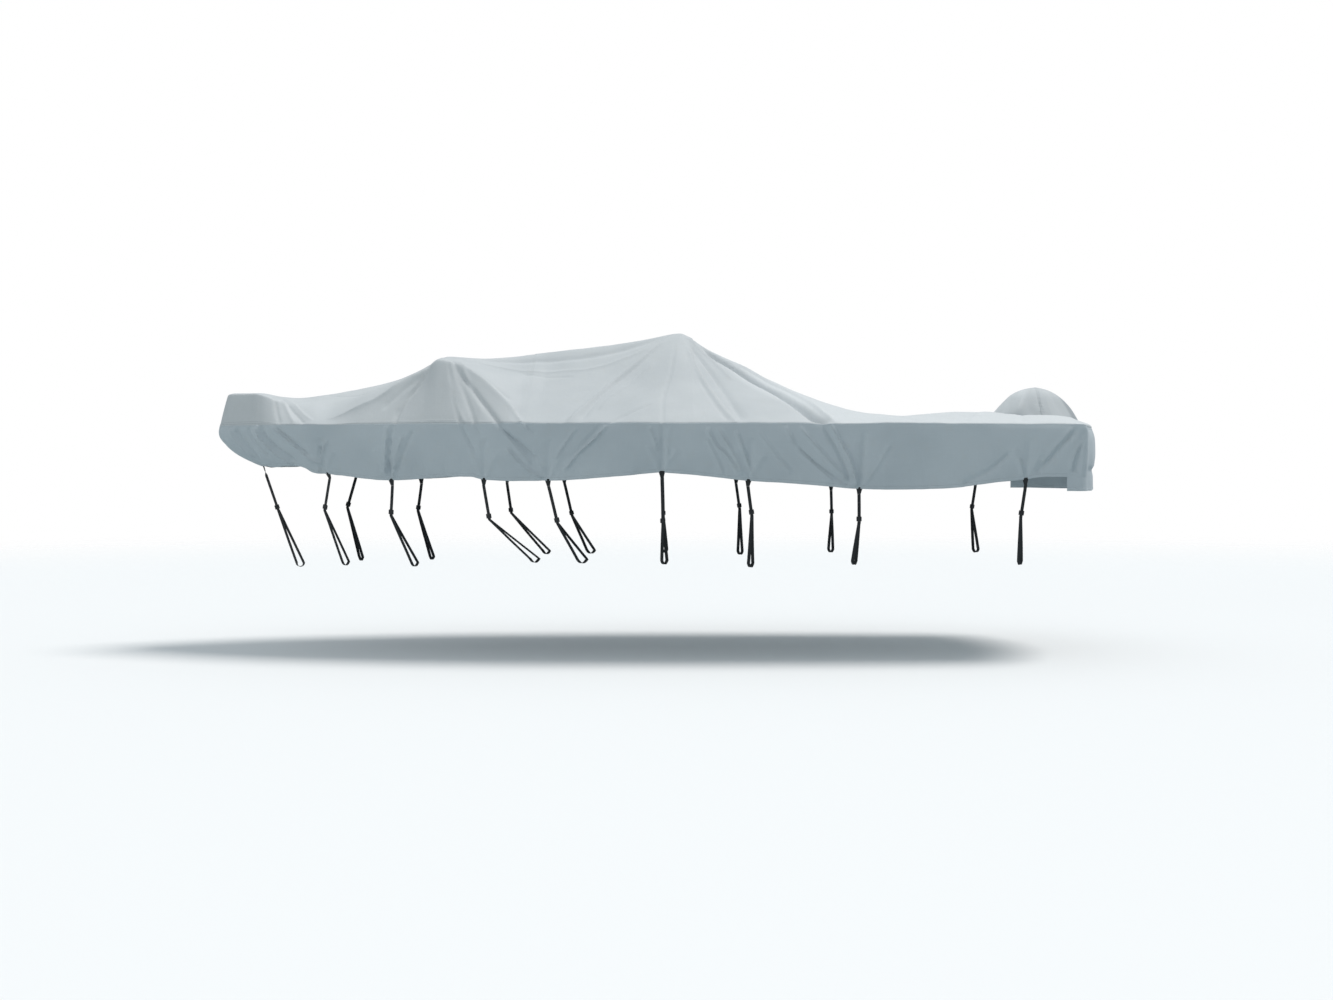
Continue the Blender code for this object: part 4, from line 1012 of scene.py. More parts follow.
def makeClothMaterial(name, paintedShadeTint=(1.0, 1.0, 1.0), seamStitches=(), hemStitches=(), paintedTones=()):
    # rows of stitches are given by their distance from the seam and from the hem
    look = clothLook
    material, tree, shader = newMaterial(name)
    place = objectPlace(tree)
    cloth = uvMap(tree, "cloth")
    weave = placeGroup(tree, weaveGroup, cloth, Threads_per_metre=look["threadsPerMetre"])
    weather = placeGroup(tree, weatherGroup, place)
    # the tint is painted shade: a bluer, darker copy of the cloth for the shaded skirts
    light, faded, shade = (tuple(c * t for c, t in zip(look[key], paintedShadeTint))
                           for key in ("light", "faded", "shade"))
    colour = mixColour(tree, weather.outputs["Fade"], light, faded)
    # painted light and shade: lighter or darker tones laid on where the light falls that way
    for outSlope, upSlope, start, full, tone, amount in paintedTones:
        wearAndPaintedLight = value(tree, "MULTIPLY", paintedToneMask(tree, place, outSlope, upSlope, start, full), amount)
        colour = mixColour(tree, wearAndPaintedLight, colour, look[tone])
    slub = ramp(tree, weave.outputs["Slub"], *look["slub"])
    colour = mixColour(tree, value(tree, "MULTIPLY", slub, look["slubAmount"]), colour, shade)
    colour = mixColour(tree, ramp(tree, weave.outputs["Height"], *look["gaps"]), colour, shade)
    dust = value(tree, "MULTIPLY", weather.outputs["Dust"], look["dustAmount"])
    colour = mixColour(tree, dust, colour, look["dust"])
    dips = None
    for layer, rows in (("seam", seamStitches), ("cloth", hemStitches)):
        for row in rows:
            stitch = placeGroup(tree, stitchGroup, uvMap(tree, layer), Place=row)
            thread = stitch.outputs["Mask"]
            colour = mixColour(tree, thread, colour, look["thread"])
            raised = value(tree, "SUBTRACT", value(tree, "MULTIPLY", thread, look["threadRise"]),
                           stitch.outputs["Dip"])
            dips = raised if dips is None else value(tree, "ADD", dips, raised)
    rough = value(tree, "MULTIPLY_ADD", weather.outputs["Dust"], look["dustRoughness"],
                  look["roughness"])
    normal = addBump(tree, weather.outputs["Crumple"], look["crumpleBump"])
    normal = addBump(tree, weave.outputs["Height"], look["weaveBump"], normal)
    if dips is not None:
        normal = addBump(tree, dips, look["stitchBump"], normal)
    for label, given in (("Base Color", colour), ("Roughness", rough), ("Normal", normal),
                         ("Sheen Weight", look["sheen"]), ("Sheen Roughness", look["sheenRoughness"]),
                         ("Specular IOR Level", look["specular"])):
        give(tree, given, shader.inputs[label])
    return material


webLook = {
    "dark": (0.010, 0.011, 0.013),
    "wearAndPaintedLight": (0.042, 0.043, 0.046),
    "roughness": 0.66,
    "wornRoughness": 0.18,
    "ribsPerMetre": 420.0,
    "ribSlant": 0.7,
    "threadsPerMetre": 1500.0,
    "patchSize": 9.0,
    "dustSize": 60.0,
    "edge": (0.0085, 0.0130),   # distances from the middle between which the band pales
    "edgeWear": 0.55,
    "dustWear": 0.35,
    "ribBump": (0.00035, 0.7),
    "weaveBump": (0.0001, 0.6),
    "sheen": 0.15,
}


def makeWebMaterial():
    # ribbed webbing: slanted ribs across the band, worn paler along its edges
    look = webLook
    material, tree, shader = newMaterial("blackWebbing")
    band = uvMap(tree, "cloth")
    axes = splitAxes(tree, band)
    away = value(tree, "ABSOLUTE", axes["Y"])
    slant = value(tree, "ADD", axes["X"], value(tree, "MULTIPLY", away, look["ribSlant"]))
    turn = value(tree, "MULTIPLY", slant, 2 * math.pi * look["ribsPerMetre"])
    ribs = value(tree, "MULTIPLY_ADD", value(tree, "SINE", turn), 0.5, 0.5)
    weave = placeGroup(tree, weaveGroup, band, Threads_per_metre=look["threadsPerMetre"])
    weather = placeGroup(tree, weatherGroup, objectPlace(tree), Size=look["patchSize"],
                         Dust_size=look["dustSize"])
    wearAndPaintedLight = value(tree, "MULTIPLY", ramp(tree, away, *look["edge"]), weather.outputs["Fade"])
    wearAndPaintedLight = value(tree, "ADD", value(tree, "MULTIPLY", wearAndPaintedLight, look["edgeWear"]),
                 value(tree, "MULTIPLY", weather.outputs["Dust"], look["dustWear"]), clamp=True)
    rough = value(tree, "MULTIPLY_ADD", wearAndPaintedLight, look["wornRoughness"], look["roughness"])
    normal = addBump(tree, ribs, look["ribBump"])
    normal = addBump(tree, weave.outputs["Height"], look["weaveBump"], normal)
    for label, given in (("Base Color", mixColour(tree, wearAndPaintedLight, look["dark"], look["wearAndPaintedLight"])),
                         ("Roughness", rough), ("Normal", normal), ("Sheen Weight", look["sheen"])):
        give(tree, given, shader.inputs[label])
    return material


plasticLook = {
    "dark": (0.014, 0.014, 0.016),
    "dusty": (0.060, 0.060, 0.064),
    "dustAmount": 0.5,
    "patchSize": 40.0,
    "dustSize": 150.0,
    "grainSize": 1800.0,
    "grainBump": (0.0001, 0.5),
    "roughness": 0.36,
    "fadedRoughness": 0.16,
}


def makePlasticMaterial():
    look = plasticLook
    material, tree, shader = newMaterial("blackPlastic")
    place = objectPlace(tree)
    weather = placeGroup(tree, weatherGroup, place, Size=look["patchSize"], Dust_size=look["dustSize"])
    dust = value(tree, "MULTIPLY", weather.outputs["Dust"], look["dustAmount"])
    rough = value(tree, "MULTIPLY_ADD", weather.outputs["Fade"], look["fadedRoughness"],
                  look["roughness"])
    normal = addBump(tree, noise(tree, place, look["grainSize"]), look["grainBump"])
    for label, given in (("Base Color", mixColour(tree, dust, look["dark"], look["dusty"])),
                         ("Roughness", rough), ("Normal", normal)):
        give(tree, given, shader.inputs[label])
    return material


# the deck carries painted light on its after part
deckCloth = makeClothMaterial("deckCloth", seamStitches=(0.0045, 0.0112), paintedTones=deckPaintedLight)
# painted shade: the skirts' cloth is tinted bluer and darker, as the sky lights their steep sides
skirtCloth = makeClothMaterial("skirtCloth", (0.94, 0.985, 1.02), seamStitches=(0.0045,),
                               hemStitches=(0.0245, 0.0040))
# the hood carries painted light on its fore face and painted shade on its aft face
hoodCloth = makeClothMaterial("hoodCloth", seamStitches=(0.0045, 0.0105), paintedTones=hoodPaintedLightAndShade)
webbing = makeWebMaterial()
plastic = makePlasticMaterial()
print("materials made")


hood = {
    "x": 3.00,
    "halfLength": 0.365,
    "halfWidth": 0.290,
    "top": 0.325,
    "shift": -0.015,
    "flange": 0.020,
    "flangeRows": (0.0, 0.004, 0.012, 0.016),
    "footRise": 0.0022,
    "flangeRise": 0.0016,
    "flangeEdgeRise": 0.0007,
    "around": 220,
    "rows": 64,
    "rowPower": 0.92,
    "inDeck": 0.012,            # the hole in the deck lies this far within the base
    "deckFrom": 2.2,            # the part of the deck that the hood is laid on starts here
    "girth": 0.33,              # mean radius, for the map of its weave
    "merge": 0.0001,
}
# seams up the dome and, of these, the ones puckered by their stitching, in degrees about it
hoodSeams = (-94, 0, 90, 180)
puckeredSeams = (-94, 90)
hoodPuff = {
    "rate": 1.15, "power": 0.6, "end": 0.87,
    "wander": 0.03, "wanderRate": 9.0, "crispRate": 1.5,
}
hoodPucker = {
    "height": 0.006, "rate": 34.0, "bend": 2.5, "bendRate": 13.0,
    "fine": 0.6, "fineRate": 81.0, "beside": 0.05, "width": 0.07,
}
hoodRipple = {"height": 0.004, "count": 11, "lean": 6.0}
# share of the way up its side, share of the height, share of the base outline
hoodProfile = (
    (0.00, 0.00, 1.000), (0.05, 0.06, 0.965), (0.22, 0.25, 0.860), (0.40, 0.46, 0.735),
    (0.60, 0.70, 0.570), (0.77, 0.86, 0.385), (0.90, 0.95, 0.205), (1.00, 1.00, 0.000),
)
# turn about the dome in degrees, width, how far the cloth stands out or draws in, crispness
hoodFolds = (
    (-94, 0.045, -0.045, 0.8), (90, 0.050, -0.035, 0.8), (0, 0.060, -0.014, 0.4),
    (180, 0.060, -0.014, 0.4), (-127, 0.34, 0.13, 1.0), (-39, 0.36, 0.13, 1.0),
    (-80, 0.07, 0.018, 0.5), (-112, 0.14, -0.035, 0.3), (-62, 0.18, -0.035, 0.3),
    (122, 0.32, 0.11, 1.0), (50, 0.32, 0.11, 1.0), (150, 0.09, -0.014, 0.5),
    (30, 0.09, -0.014, 0.5), (-150, 0.12, -0.020, 0.5), (-14, 0.10, -0.018, 0.5),
)


def onDeck(deckTree, x, y):
    # heights of the deck below these places
    down = Vector((0, 0, -1))
    return np.array([deckTree.ray_cast(Vector((a, b, 0.0)), down)[0].z for a, b in zip(x, y)])


def turnGap(turn, degrees, wander=0.0):
    # how far round the dome each place lies from a given turn
    return np.abs((turn - math.radians(degrees) - wander + math.pi) % (2 * math.pi) - math.pi)


def puckerWave(up):
    # short uneven waves all the way up a seam
    bend = hoodPucker["bend"] * np.sin(up * hoodPucker["bendRate"])
    fine = hoodPucker["fine"] * np.sin(up * hoodPucker["fineRate"])
    return np.sin(up * hoodPucker["rate"] + bend) + fine


def beside(gap):
    # strongest a little to either side of the seam
    return np.exp(-((gap - hoodPucker["beside"]) / hoodPucker["width"]) ** 2)


def hoodShape(turn, up):
    # outline of the dome at one share of the way up, with its folds, as a factor on its size
    shape = np.ones(len(turn))
    if not 0 < up < hoodPuff["end"]:
        return shape
    puff = math.sin(math.pi * min(up * hoodPuff["rate"], 1.0)) ** hoodPuff["power"]
    for degrees, width, height, crisp in hoodFolds:
        wander = hoodPuff["wander"] * math.sin(hoodPuff["wanderRate"] * up + degrees)
        gap = turnGap(turn, degrees, wander)
        softShape = np.exp(-(gap / width) ** 2)
        crispShape = np.exp(-hoodPuff["crispRate"] * gap / width)
        shape += height * puff * (softShape + (crispShape - softShape) * crisp)
        if degrees in puckeredSeams:
            shape += hoodPucker["height"] * puff * puckerWave(up) * beside(gap)
    wave = np.sin(hoodRipple["count"] * turn + hoodRipple["lean"] * up)
    return shape + hoodRipple["height"] * puff * wave


def makeHoodGrid(deckTree):
    flange = len(hood["flangeRows"])
    turn = np.linspace(0, 2 * math.pi, hood["around"] + 1)
    points = np.zeros((flange + hood["rows"], len(turn), 3))
    s = np.linspace(0, 1, hood["rows"]) ** hood["rowPower"]
    rise, size = (readTable(hoodProfile, s, column) for column in (1, 2))
    cosine, sine = np.cos(turn), np.sin(turn)
    base = onDeck(deckTree, hood["x"] + hood["halfLength"] * cosine, hood["halfWidth"] * sine)
    base += hood["footRise"]
    for m, out in enumerate(hood["flangeRows"]):
        grow = hood["flange"] - out
        x = hood["x"] + (hood["halfLength"] + grow) * cosine
        y = (hood["halfWidth"] + grow) * sine
        lift = hood["flangeRise"] if m else hood["flangeEdgeRise"]
        points[m] = np.stack((x, y, onDeck(deckTree, x, y) + lift), -1)
    top = gunwaleZ + hood["top"]
    for m in range(hood["rows"]):
        grow = size[m] * hoodShape(turn, s[m])
        x = hood["x"] + hood["shift"] * rise[m] + hood["halfLength"] * cosine * grow
        y = hood["halfWidth"] * sine * grow
        points[flange + m] = np.stack((x, y, base + (top - base) * rise[m]), -1)
    radius = hood["halfLength"] * np.concatenate((np.ones(flange), size))[:, None]
    seam = np.min([turnGap(turn, degrees) * radius for degrees in hoodSeams], 0)
    points[:, -1] = points[:, 0]
    return points, turn, seam


def makeDeck(deck, deckV):
    # one sheet, cut away under the hood, and a tree of its after part to lay the hood on
    middle = deck[:-1, :-1]
    inHood = (((middle[..., 0] - hood["x"]) / (hood["halfLength"] - hood["inDeck"])) ** 2
              + (middle[..., 1] / (hood["halfWidth"] - hood["inDeck"])) ** 2) < 1
    uvs = {"cloth": (xGrid, deckV), "seam": (xGrid, np.abs(deckV))}
    piece = addPiece("coverDeck", gridMesh("coverDeck", deck, uvs, keep=~inHood), deckCloth)
    rows, cols = deck.shape[:2]
    start = int(np.searchsorted(stations, hood["deckFrom"]))
    faces = [(i * cols + j, (i + 1) * cols + j, (i + 1) * cols + j + 1, i * cols + j + 1)
             for i in range(start, rows - 1) for j in range(cols - 1)]
    return piece, BVHTree.FromPolygons([tuple(p) for p in deck.reshape(-1, 3)], faces)


def makeSideSkirt(name, side, panel, last):
    points, along, fromHem, down = (panel[key][:last + 1]
                                    for key in ("points", "along", "fromHem", "down"))
    return addCloth(name, points, (along, fromHem), (along, down), skirtCloth, flip=side < 0)


def makeTransomSkirt(panels, stern, sternDown, last):
    # runs round both corners in one piece and hangs lower than the side skirts
    wrap, downs = (np.concatenate((panels[-1][key][last:], middle[1:-1], panels[1][key][last:][::-1]), 0)
                   for key, middle in (("points", stern), ("down", sternDown)))
    girth = np.concatenate(([0.0], np.cumsum(np.linalg.norm(np.diff(wrap[:, 0], axis=0), axis=1))))
    drops = list(np.arange(cover["rearStep"], cover["rearDrop"] - hemRows[0], cover["rearStep"]))
    drops += [cover["rearDrop"] - d for d in hemRows]
    foot = wrap[:, -1]
    lower = np.stack([foot - np.array((0, 0, d)) for d in drops], 1)
    wrap = np.concatenate((wrap, lower), 1)
    downs = np.concatenate((downs, np.stack([downs[:, -1] + d for d in drops], 1)), 1)
    fromHem = downs[:, -1:] - downs
    out = surfaceNormals(wrap, -1.0)
    out[..., 2] = 0.0
    below = downs - rearRipple["from"]
    lift = hemRise(fromHem) * smooth(below / rearRipple["hemOver"])
    wave = rearRipple["height"] * np.sin(girth * rearRipple["rate"])[:, None]
    wrap = wrap + unit(out) * (lift + wave * smooth(below / rearRipple["over"]))[..., None]
    along = repeatAcross(girth, wrap.shape[1])
    return addCloth("skirtTransom", wrap, (along, fromHem), (along, downs), skirtCloth)


def makeHood(deckTree):
    points, turn, seam = makeHoodGrid(deckTree)
    around = np.repeat((turn * hood["girth"])[None, :], points.shape[0], 0)
    steps = np.linalg.norm(np.diff(points, axis=0), axis=2)
    upward = np.cumsum(np.concatenate((np.zeros((1, points.shape[1])), steps), 0), 0)
    return addCloth("motorHood", points, (around, upward), (upward, seam), hoodCloth, hood["merge"])


def makeClothPieces():
    deck, deckV, panels, stern, sternDown = makePanels()
    last = int(np.argmin(np.abs(stations - cover["wrapX"])))
    made = {}
    made["deck"], deckTree = makeDeck(deck, deckV)
    made["Port"] = makeSideSkirt("skirtPort", -1, panels[-1], last)
    made["Starboard"] = makeSideSkirt("skirtStarboard", 1, panels[1], last)
    made["Transom"] = makeTransomSkirt(panels, stern, sternDown, last)
    made["Hood"] = makeHood(deckTree)
    return made, panels


clothPieces, panels = makeClothPieces()
for label, node in (("deck", "deck_panel"), ("Port", "port_skirt"), ("Starboard", "starboard_skirt"),
                    ("Transom", "transom_skirt"), ("Hood", "motor_hood")):
    piece = clothPieces[label]
    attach(piece, "root")
    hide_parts(node)
    print(piece.name, len(piece.data.polygons), "faces")


loopPiece = {
    "top": 0.048,
    "drop": 0.045,
    "tuck": 0.014,
    "thick": 0.0022,
    "cuts": (8, 10),
    "narrowing": 0.85,          # power by which it narrows on the way down
    "edge": 0.0005,
    "sameRow": 1e-4,            # points this close in height are one row
    "inward": 0.0012,           # it lies this far within the hem
    "gap": 0.0004,              # between its foot and the strap's start
    "noseDown": (0.30, 0.0, -0.95),
    "noseBack": 0.012,
}


def hemPlace(side, x):
    # middle of the hem at a strap, and the unit vectors along it, out of it and down
    points = panels[side]["points"]
    out = surfaceNormals(points, side)
    half = loopPiece["top"] / 2

    def at(values, place):
        return Vector([float(np.interp(place, stations, values[:, -1, axis])) for axis in range(3)])

    ends = at(points, x - half), at(points, x + half)
    along = (ends[1] - ends[0]).normalized()
    outward = at(out, x)
    outward = (outward - along * outward.dot(along)).normalized()
    down = along.cross(outward)
    down = -down if down.z > 0 else down
    return (ends[0] + ends[1]) / 2, along, outward, down


def nosePlace():
    # the same at the tip of the bow
    tip = Vector(panels[-1]["points"][0, -1])
    down = Vector(loopPiece["noseDown"]).normalized()
    across = Vector((0, 1, 0))
    return tip + Vector((loopPiece["noseBack"], 0, 0)), across, across.cross(down), down


def editAll():
    bpy.ops.object.mode_set(mode="EDIT")
    bpy.ops.mesh.select_all(action="SELECT")


def leaveEdit():
    bpy.ops.object.mode_set(mode="OBJECT")


def dropSelection(kind):
    bpy.ops.object.mode_set(mode="EDIT")
    bpy.ops.mesh.select_mode(type=kind)
    bpy.ops.mesh.select_all(action="DESELECT")
    leaveEdit()


def pickFaces(piece, test):
    # leaves edit mode with just the chosen faces selected
    dropSelection("FACE")
    for face in piece.data.polygons:
        face.select = test(face.center, face.normal)
    bpy.ops.object.mode_set(mode="EDIT")


def pickVerts(piece, test):
    dropSelection("VERT")
    for vert in piece.data.vertices:
        vert.select = test(vert.co)
    bpy.ops.object.mode_set(mode="EDIT")


edgeAngles = {"rounded": 35, "smooth": 40}


def roundEdges(piece, width, segments=2):
    bevel = piece.modifiers.new("rounded", "BEVEL")
    bevel.width = width
    bevel.segments = segments
    bevel.limit_method = "ANGLE"
    bevel.angle_limit = math.radians(edgeAngles["rounded"])
    applyModifiers(piece)
    smoothByAngle(edgeAngles["smooth"])


def addBlock(name, centre, size):
    bpy.ops.mesh.primitive_cube_add(size=1.0, location=(0, 0, 0))
    piece = bpy.context.active_object
    piece.name = name
    editAll()
    bpy.ops.transform.resize(value=size, center_override=(0, 0, 0))
    bpy.ops.transform.translate(value=centre)
    leaveEdit()
    return piece


def joinPieces(name, parts):
    bpy.ops.object.select_all(action="DESELECT")
    for part in parts:
        part.select_set(True)
    bpy.context.view_layer.objects.active = parts[0]
    bpy.ops.object.join()
    joined = bpy.context.active_object
    joined.name = joined.data.name = name
    return joined


def addUv(mesh):
    # lays the band out flat: across on X, along on Z of its own frame
    layer = mesh.uv_layers.new(name="cloth")
    for loop in mesh.loops:
        co = mesh.vertices[loop.vertex_index].co
        layer.data[loop.index].uv = (co.z, co.x)


def makeLoopMaster():
    # one web folded flat on itself into a triangle that narrows to the strap
    across, down = loopPiece["cuts"]
    bpy.ops.mesh.primitive_grid_add(x_subdivisions=across, y_subdivisions=down, size=1.0,
                                    location=(0, 0, 0))
    piece = bpy.context.active_object
    piece.name = "loopMaster"
    tall = loopPiece["drop"] + loopPiece["tuck"]
    editAll()
    bpy.ops.transform.rotate(value=math.pi / 2, orient_axis="X", center_override=(0, 0, 0))
    bpy.ops.transform.resize(value=(loopPiece["top"], 1.0, tall), center_override=(0, 0, 0))
    bpy.ops.transform.translate(value=(0, 0, loopPiece["tuck"] - tall / 2))
    leaveEdit()
    narrow = strap["width"] / loopPiece["top"]
    rows = sorted({round(v.co.z, 5) for v in piece.data.vertices})
    for z in rows:
        share = min(max(-z / loopPiece["drop"], 0.0), 1.0)
        factor = 1 + (narrow - 1) * share ** loopPiece["narrowing"]
        pickVerts(piece, lambda co: abs(co.z - z) < loopPiece["sameRow"])
        bpy.ops.transform.resize(value=(factor, 1, 1), center_override=(0, 0, z))
        leaveEdit()
    thicken(piece, loopPiece["thick"])
    roundEdges(piece, loopPiece["edge"])
    addUv(piece.data)
    piece.data.materials.append(webbing)
    return piece


# Places end in In or Out, from the front face of the body, and in Up, from its middle. A size of
# three is how much narrower than the body a part is, how thick and how tall.
buckle = {
    "width": 0.040,
    "length": 0.036,
    "thick": 0.011,
    "wall": 0.004,
    "recess": 0.0035,
    "endInset": 0.003,
    "edge": 0.0014,
    "facing": 0.9,              # least part of a normal along an axis for its face to be picked
    "nearEnd": 0.45,            # share of the length beyond which a face is at an end
    "barIn": 0.0016,
    "barUp": 0.0095,            # from the foot of the body
    "barSize": (0.004, 0.0036, 0.0050),
    "barEdge": 0.0012,
    "leverIn": 0.0008,
    "leverUp": 0.0045,
    "leverSize": (0.013, 0.0046, 0.0175),
    "leverEdge": 0.0009,
    "tipMove": (0, -0.0018, 0.0050),
    "tipShape": (1.10, 0.7, 1),
    "tipOut": 0.001,
    "tipUp": 0.0132,
    "ridges": 4,
    "ridgeOut": 0.0017,
    "ridgeUp": -0.001,
    "ridgePitch": 0.0032,
    "ridgeSize": (0.017, 0.0010, 0.0013),
    "fineEdge": 0.0004,
    "pinRadius": 0.0027,
    "pinDepth": 0.0016,
    "pinCuts": 20,
    "pinPlace": (0.0002, -0.0005, 0.002),
}


def makeBuckleMaster():
    # cam buckle: a moulded body with side walls, a bar at the foot and a lever that grips the web
    width, length, front = buckle["width"], buckle["length"], -buckle["thick"] / 2
    facing, nearEnd = buckle["facing"], buckle["nearEnd"] * length

    def block(name, inward, up, size):
        return addBlock(name, (0, front + inward, up), (width - size[0], size[1], size[2]))

    back = addBlock("buckleMaster", (0, 0, 0), (width, buckle["thick"], length))
    pickFaces(back, lambda centre, normal: normal.y < -facing)
    bpy.ops.mesh.inset(thickness=buckle["wall"])
    bpy.ops.transform.translate(value=(0, buckle["recess"], 0))
    leaveEdit()
    pickFaces(back, lambda centre, normal: abs(normal.z) > facing and abs(centre.z) > nearEnd)
    bpy.ops.mesh.inset(thickness=buckle["endInset"])
    leaveEdit()
    roundEdges(back, buckle["edge"], 3)
    barFoot = block("bar", buckle["barIn"], -length / 2 + buckle["barUp"], buckle["barSize"])
    roundEdges(barFoot, buckle["barEdge"], 3)
    lever = block("lever", buckle["leverIn"], buckle["leverUp"], buckle["leverSize"])
    pickFaces(lever, lambda centre, normal: normal.z > facing)
    bpy.ops.mesh.extrude_region_move(TRANSFORM_OT_translate={"value": buckle["tipMove"]})
    tip = (0, front - buckle["tipOut"], buckle["tipUp"])
    bpy.ops.transform.resize(value=buckle["tipShape"], center_override=tip)
    leaveEdit()
    roundEdges(lever, buckle["leverEdge"], 2)
    parts = [back, barFoot, lever]
    for k in range(buckle["ridges"]):
        up = buckle["ridgeUp"] + buckle["ridgePitch"] * k
        ridge = block("ridge", -buckle["ridgeOut"], up, buckle["ridgeSize"])
        roundEdges(ridge, buckle["fineEdge"], 1)
        parts.append(ridge)
    for end in (-1, 1):
        bpy.ops.mesh.primitive_cylinder_add(vertices=buckle["pinCuts"], radius=buckle["pinRadius"],
                                            depth=buckle["pinDepth"])
        pin = bpy.context.active_object
        out, along, up = buckle["pinPlace"]
        editAll()
        bpy.ops.transform.rotate(value=math.pi / 2, orient_axis="Y", center_override=(0, 0, 0))
        bpy.ops.transform.translate(value=(end * (width / 2 + out), along, up))
        leaveEdit()
        roundEdges(pin, buckle["fineEdge"], 2)
        parts.append(pin)
    body = joinPieces("buckleMaster", parts)
    body.data.materials.clear()
    body.data.materials.append(plastic)
    return body


def placeCopy(name, master, columns, origin):
    # a copy of its own, turned so that the master's X, Y and Z follow the given vectors
    mesh = master.data.copy()
    mesh.name = name
    turn = Matrix([list(row) for row in zip(*columns)]).to_4x4()
    mesh.transform(Matrix.Translation(origin) @ turn)
    return linkPiece(name, mesh)


def arcRoute(start, row, side):
    # down through the buckle, round the trailer beam and back up to the buckle
    buckleX, buckleY, buckleZ, footY, footZ, footA, footB = row[2:]
    centre = Vector((buckleX, side * buckleY, gunwaleZ + buckleZ))
    down = (centre - start).normalized()
    inward = Vector((0, -side, 0)) if side else Vector((1, 0, 0))
    straight = down * (buckle["length"] / 2 + strap["clearance"])
    fork = centre + down * strap["forkDrop"]
    points = [start, centre - straight, centre + straight, fork]
    radius, cuts = strap["beamRadius"], strap["beamCuts"]
    for k in range(cuts + 1):
        angle = math.pi * k / cuts
        x = footA + (footB - footA) * k / cuts
        y = side * (footY + radius * math.cos(angle))
        if not side:
            x = (footA + footB) / 2 - radius * math.cos(angle)
        points.append(Vector((x, y, gunwaleZ + footZ - radius * math.sin(angle))))
    points.append(fork + inward * strap["legPart"] - down * strap["clearance"])
    return points, centre, down


def quickTurns(points, turns):
    # the strap turns within a short run beside the end that isn't turned
    line, turned = [points[0]], [turns[0]]
    for a, b, turnA, turnB in zip(points, points[1:], turns, turns[1:]):
        if (turnA == 0.0) != (turnB == 0.0):
            line.append(a.lerp(b, 1 - strap["turnWithin"] if turnA else strap["turnWithin"]))
            turned.append(turnA or turnB)
        line.append(b)
        turned.append(turnB)
    return line, turned


def resample(points, turns, step):
    # cuts long runs into even steps, with the turn of the strap at each
    line, turned = [points[0]], [turns[0]]
    for a, b, turnA, turnB in zip(points, points[1:], turns, turns[1:]):
        count = max(1, round((b - a).length / step))
        line += [a.lerp(b, k / count) for k in range(1, count + 1)]
        turned += [turnA + (turnB - turnA) * k / count for k in range(1, count + 1)]
    return line, turned


# cross section of the strap, in halves of its width and thickness
ribbonHalf = (
    (-1.0, 0.0), (-0.97, -0.75), (-0.88, -1.0), (-0.45, -0.92),
    (0.0, -0.88), (0.45, -0.92), (0.88, -1.0), (0.97, -0.75),
)
ribbonOutline = ribbonHalf + tuple((-a, -b) for a, b in ribbonHalf)


def makeRibbon(name, points, width, leaving, twist):
    # a flat woven strap with rounded selvages, swept along its route. It is turned fully
    # from its buckle to the fork, not at all at the hem, and turns over round the beam.
    loopTurn = strap["loopTwist"] if twist else 0.0
    around = strap["beamCuts"] + 1
    roundBeam = [loopTurn * (1 - 2 * k / (around - 1)) for k in range(around)]
    turns = [0.0] + [twist] * 3 + roundBeam + [-twist]
    line, turned = resample(*quickTurns(points, turns), strap["sample"])
    directions = []
    for k in range(len(line)):
        before, after = line[max(k - 1, 0)], line[min(k + 1, len(line) - 1)]
        directions.append((after - before).normalized())
    directions[0] = leaving
    halfWidth, halfThick = strap["width"] / 2, strap["thick"] / 2
    shape = bmesh.new()
    uv = shape.loops.layers.uv.new("cloth")
    rings, travelled, gone = [], [], 0.0
    for k, (point, along, turn) in enumerate(zip(line, directions, turned)):
        gone += (line[k] - line[k - 1]).length if k else 0.0
        flat = (width - along * width.dot(along)).normalized()
        flat = Matrix.Rotation(turn, 3, along) @ flat
        thick = along.cross(flat).normalized()
        sway = strap["sway"] * math.sin(gone * strap["swayRate"] + point.x * strap["swayStart"])
        rings.append([shape.verts.new(point + flat * (a * halfWidth + sway) + thick * b * halfThick)
                      for a, b in ribbonOutline])
        travelled.append(gone)
    count = len(ribbonOutline)
    for k in range(len(rings) - 1):
        for n in range(count):
            m = (n + 1) % count
            corners = ((k, n), (k, m), (k + 1, m), (k + 1, n))
            face = shape.faces.new([rings[ring][corner] for ring, corner in corners])
            for loop, (ring, corner) in zip(face.loops, corners):
                loop[uv].uv = (travelled[ring], ribbonOutline[corner][0] * halfWidth)
    shape.faces.new(list(reversed(rings[0])))
    shape.faces.new(rings[-1])
    bmesh.ops.recalc_face_normals(shape, faces=shape.faces)
    mesh = bpy.data.meshes.new(name)
    shape.to_mesh(mesh)
    shape.free()
    mesh.materials.append(webbing)
    piece = linkPiece(name, mesh)
    selectOnly(piece)
    smoothByAngle(strap["smoothAngle"])
    return piece, travelled[-1]


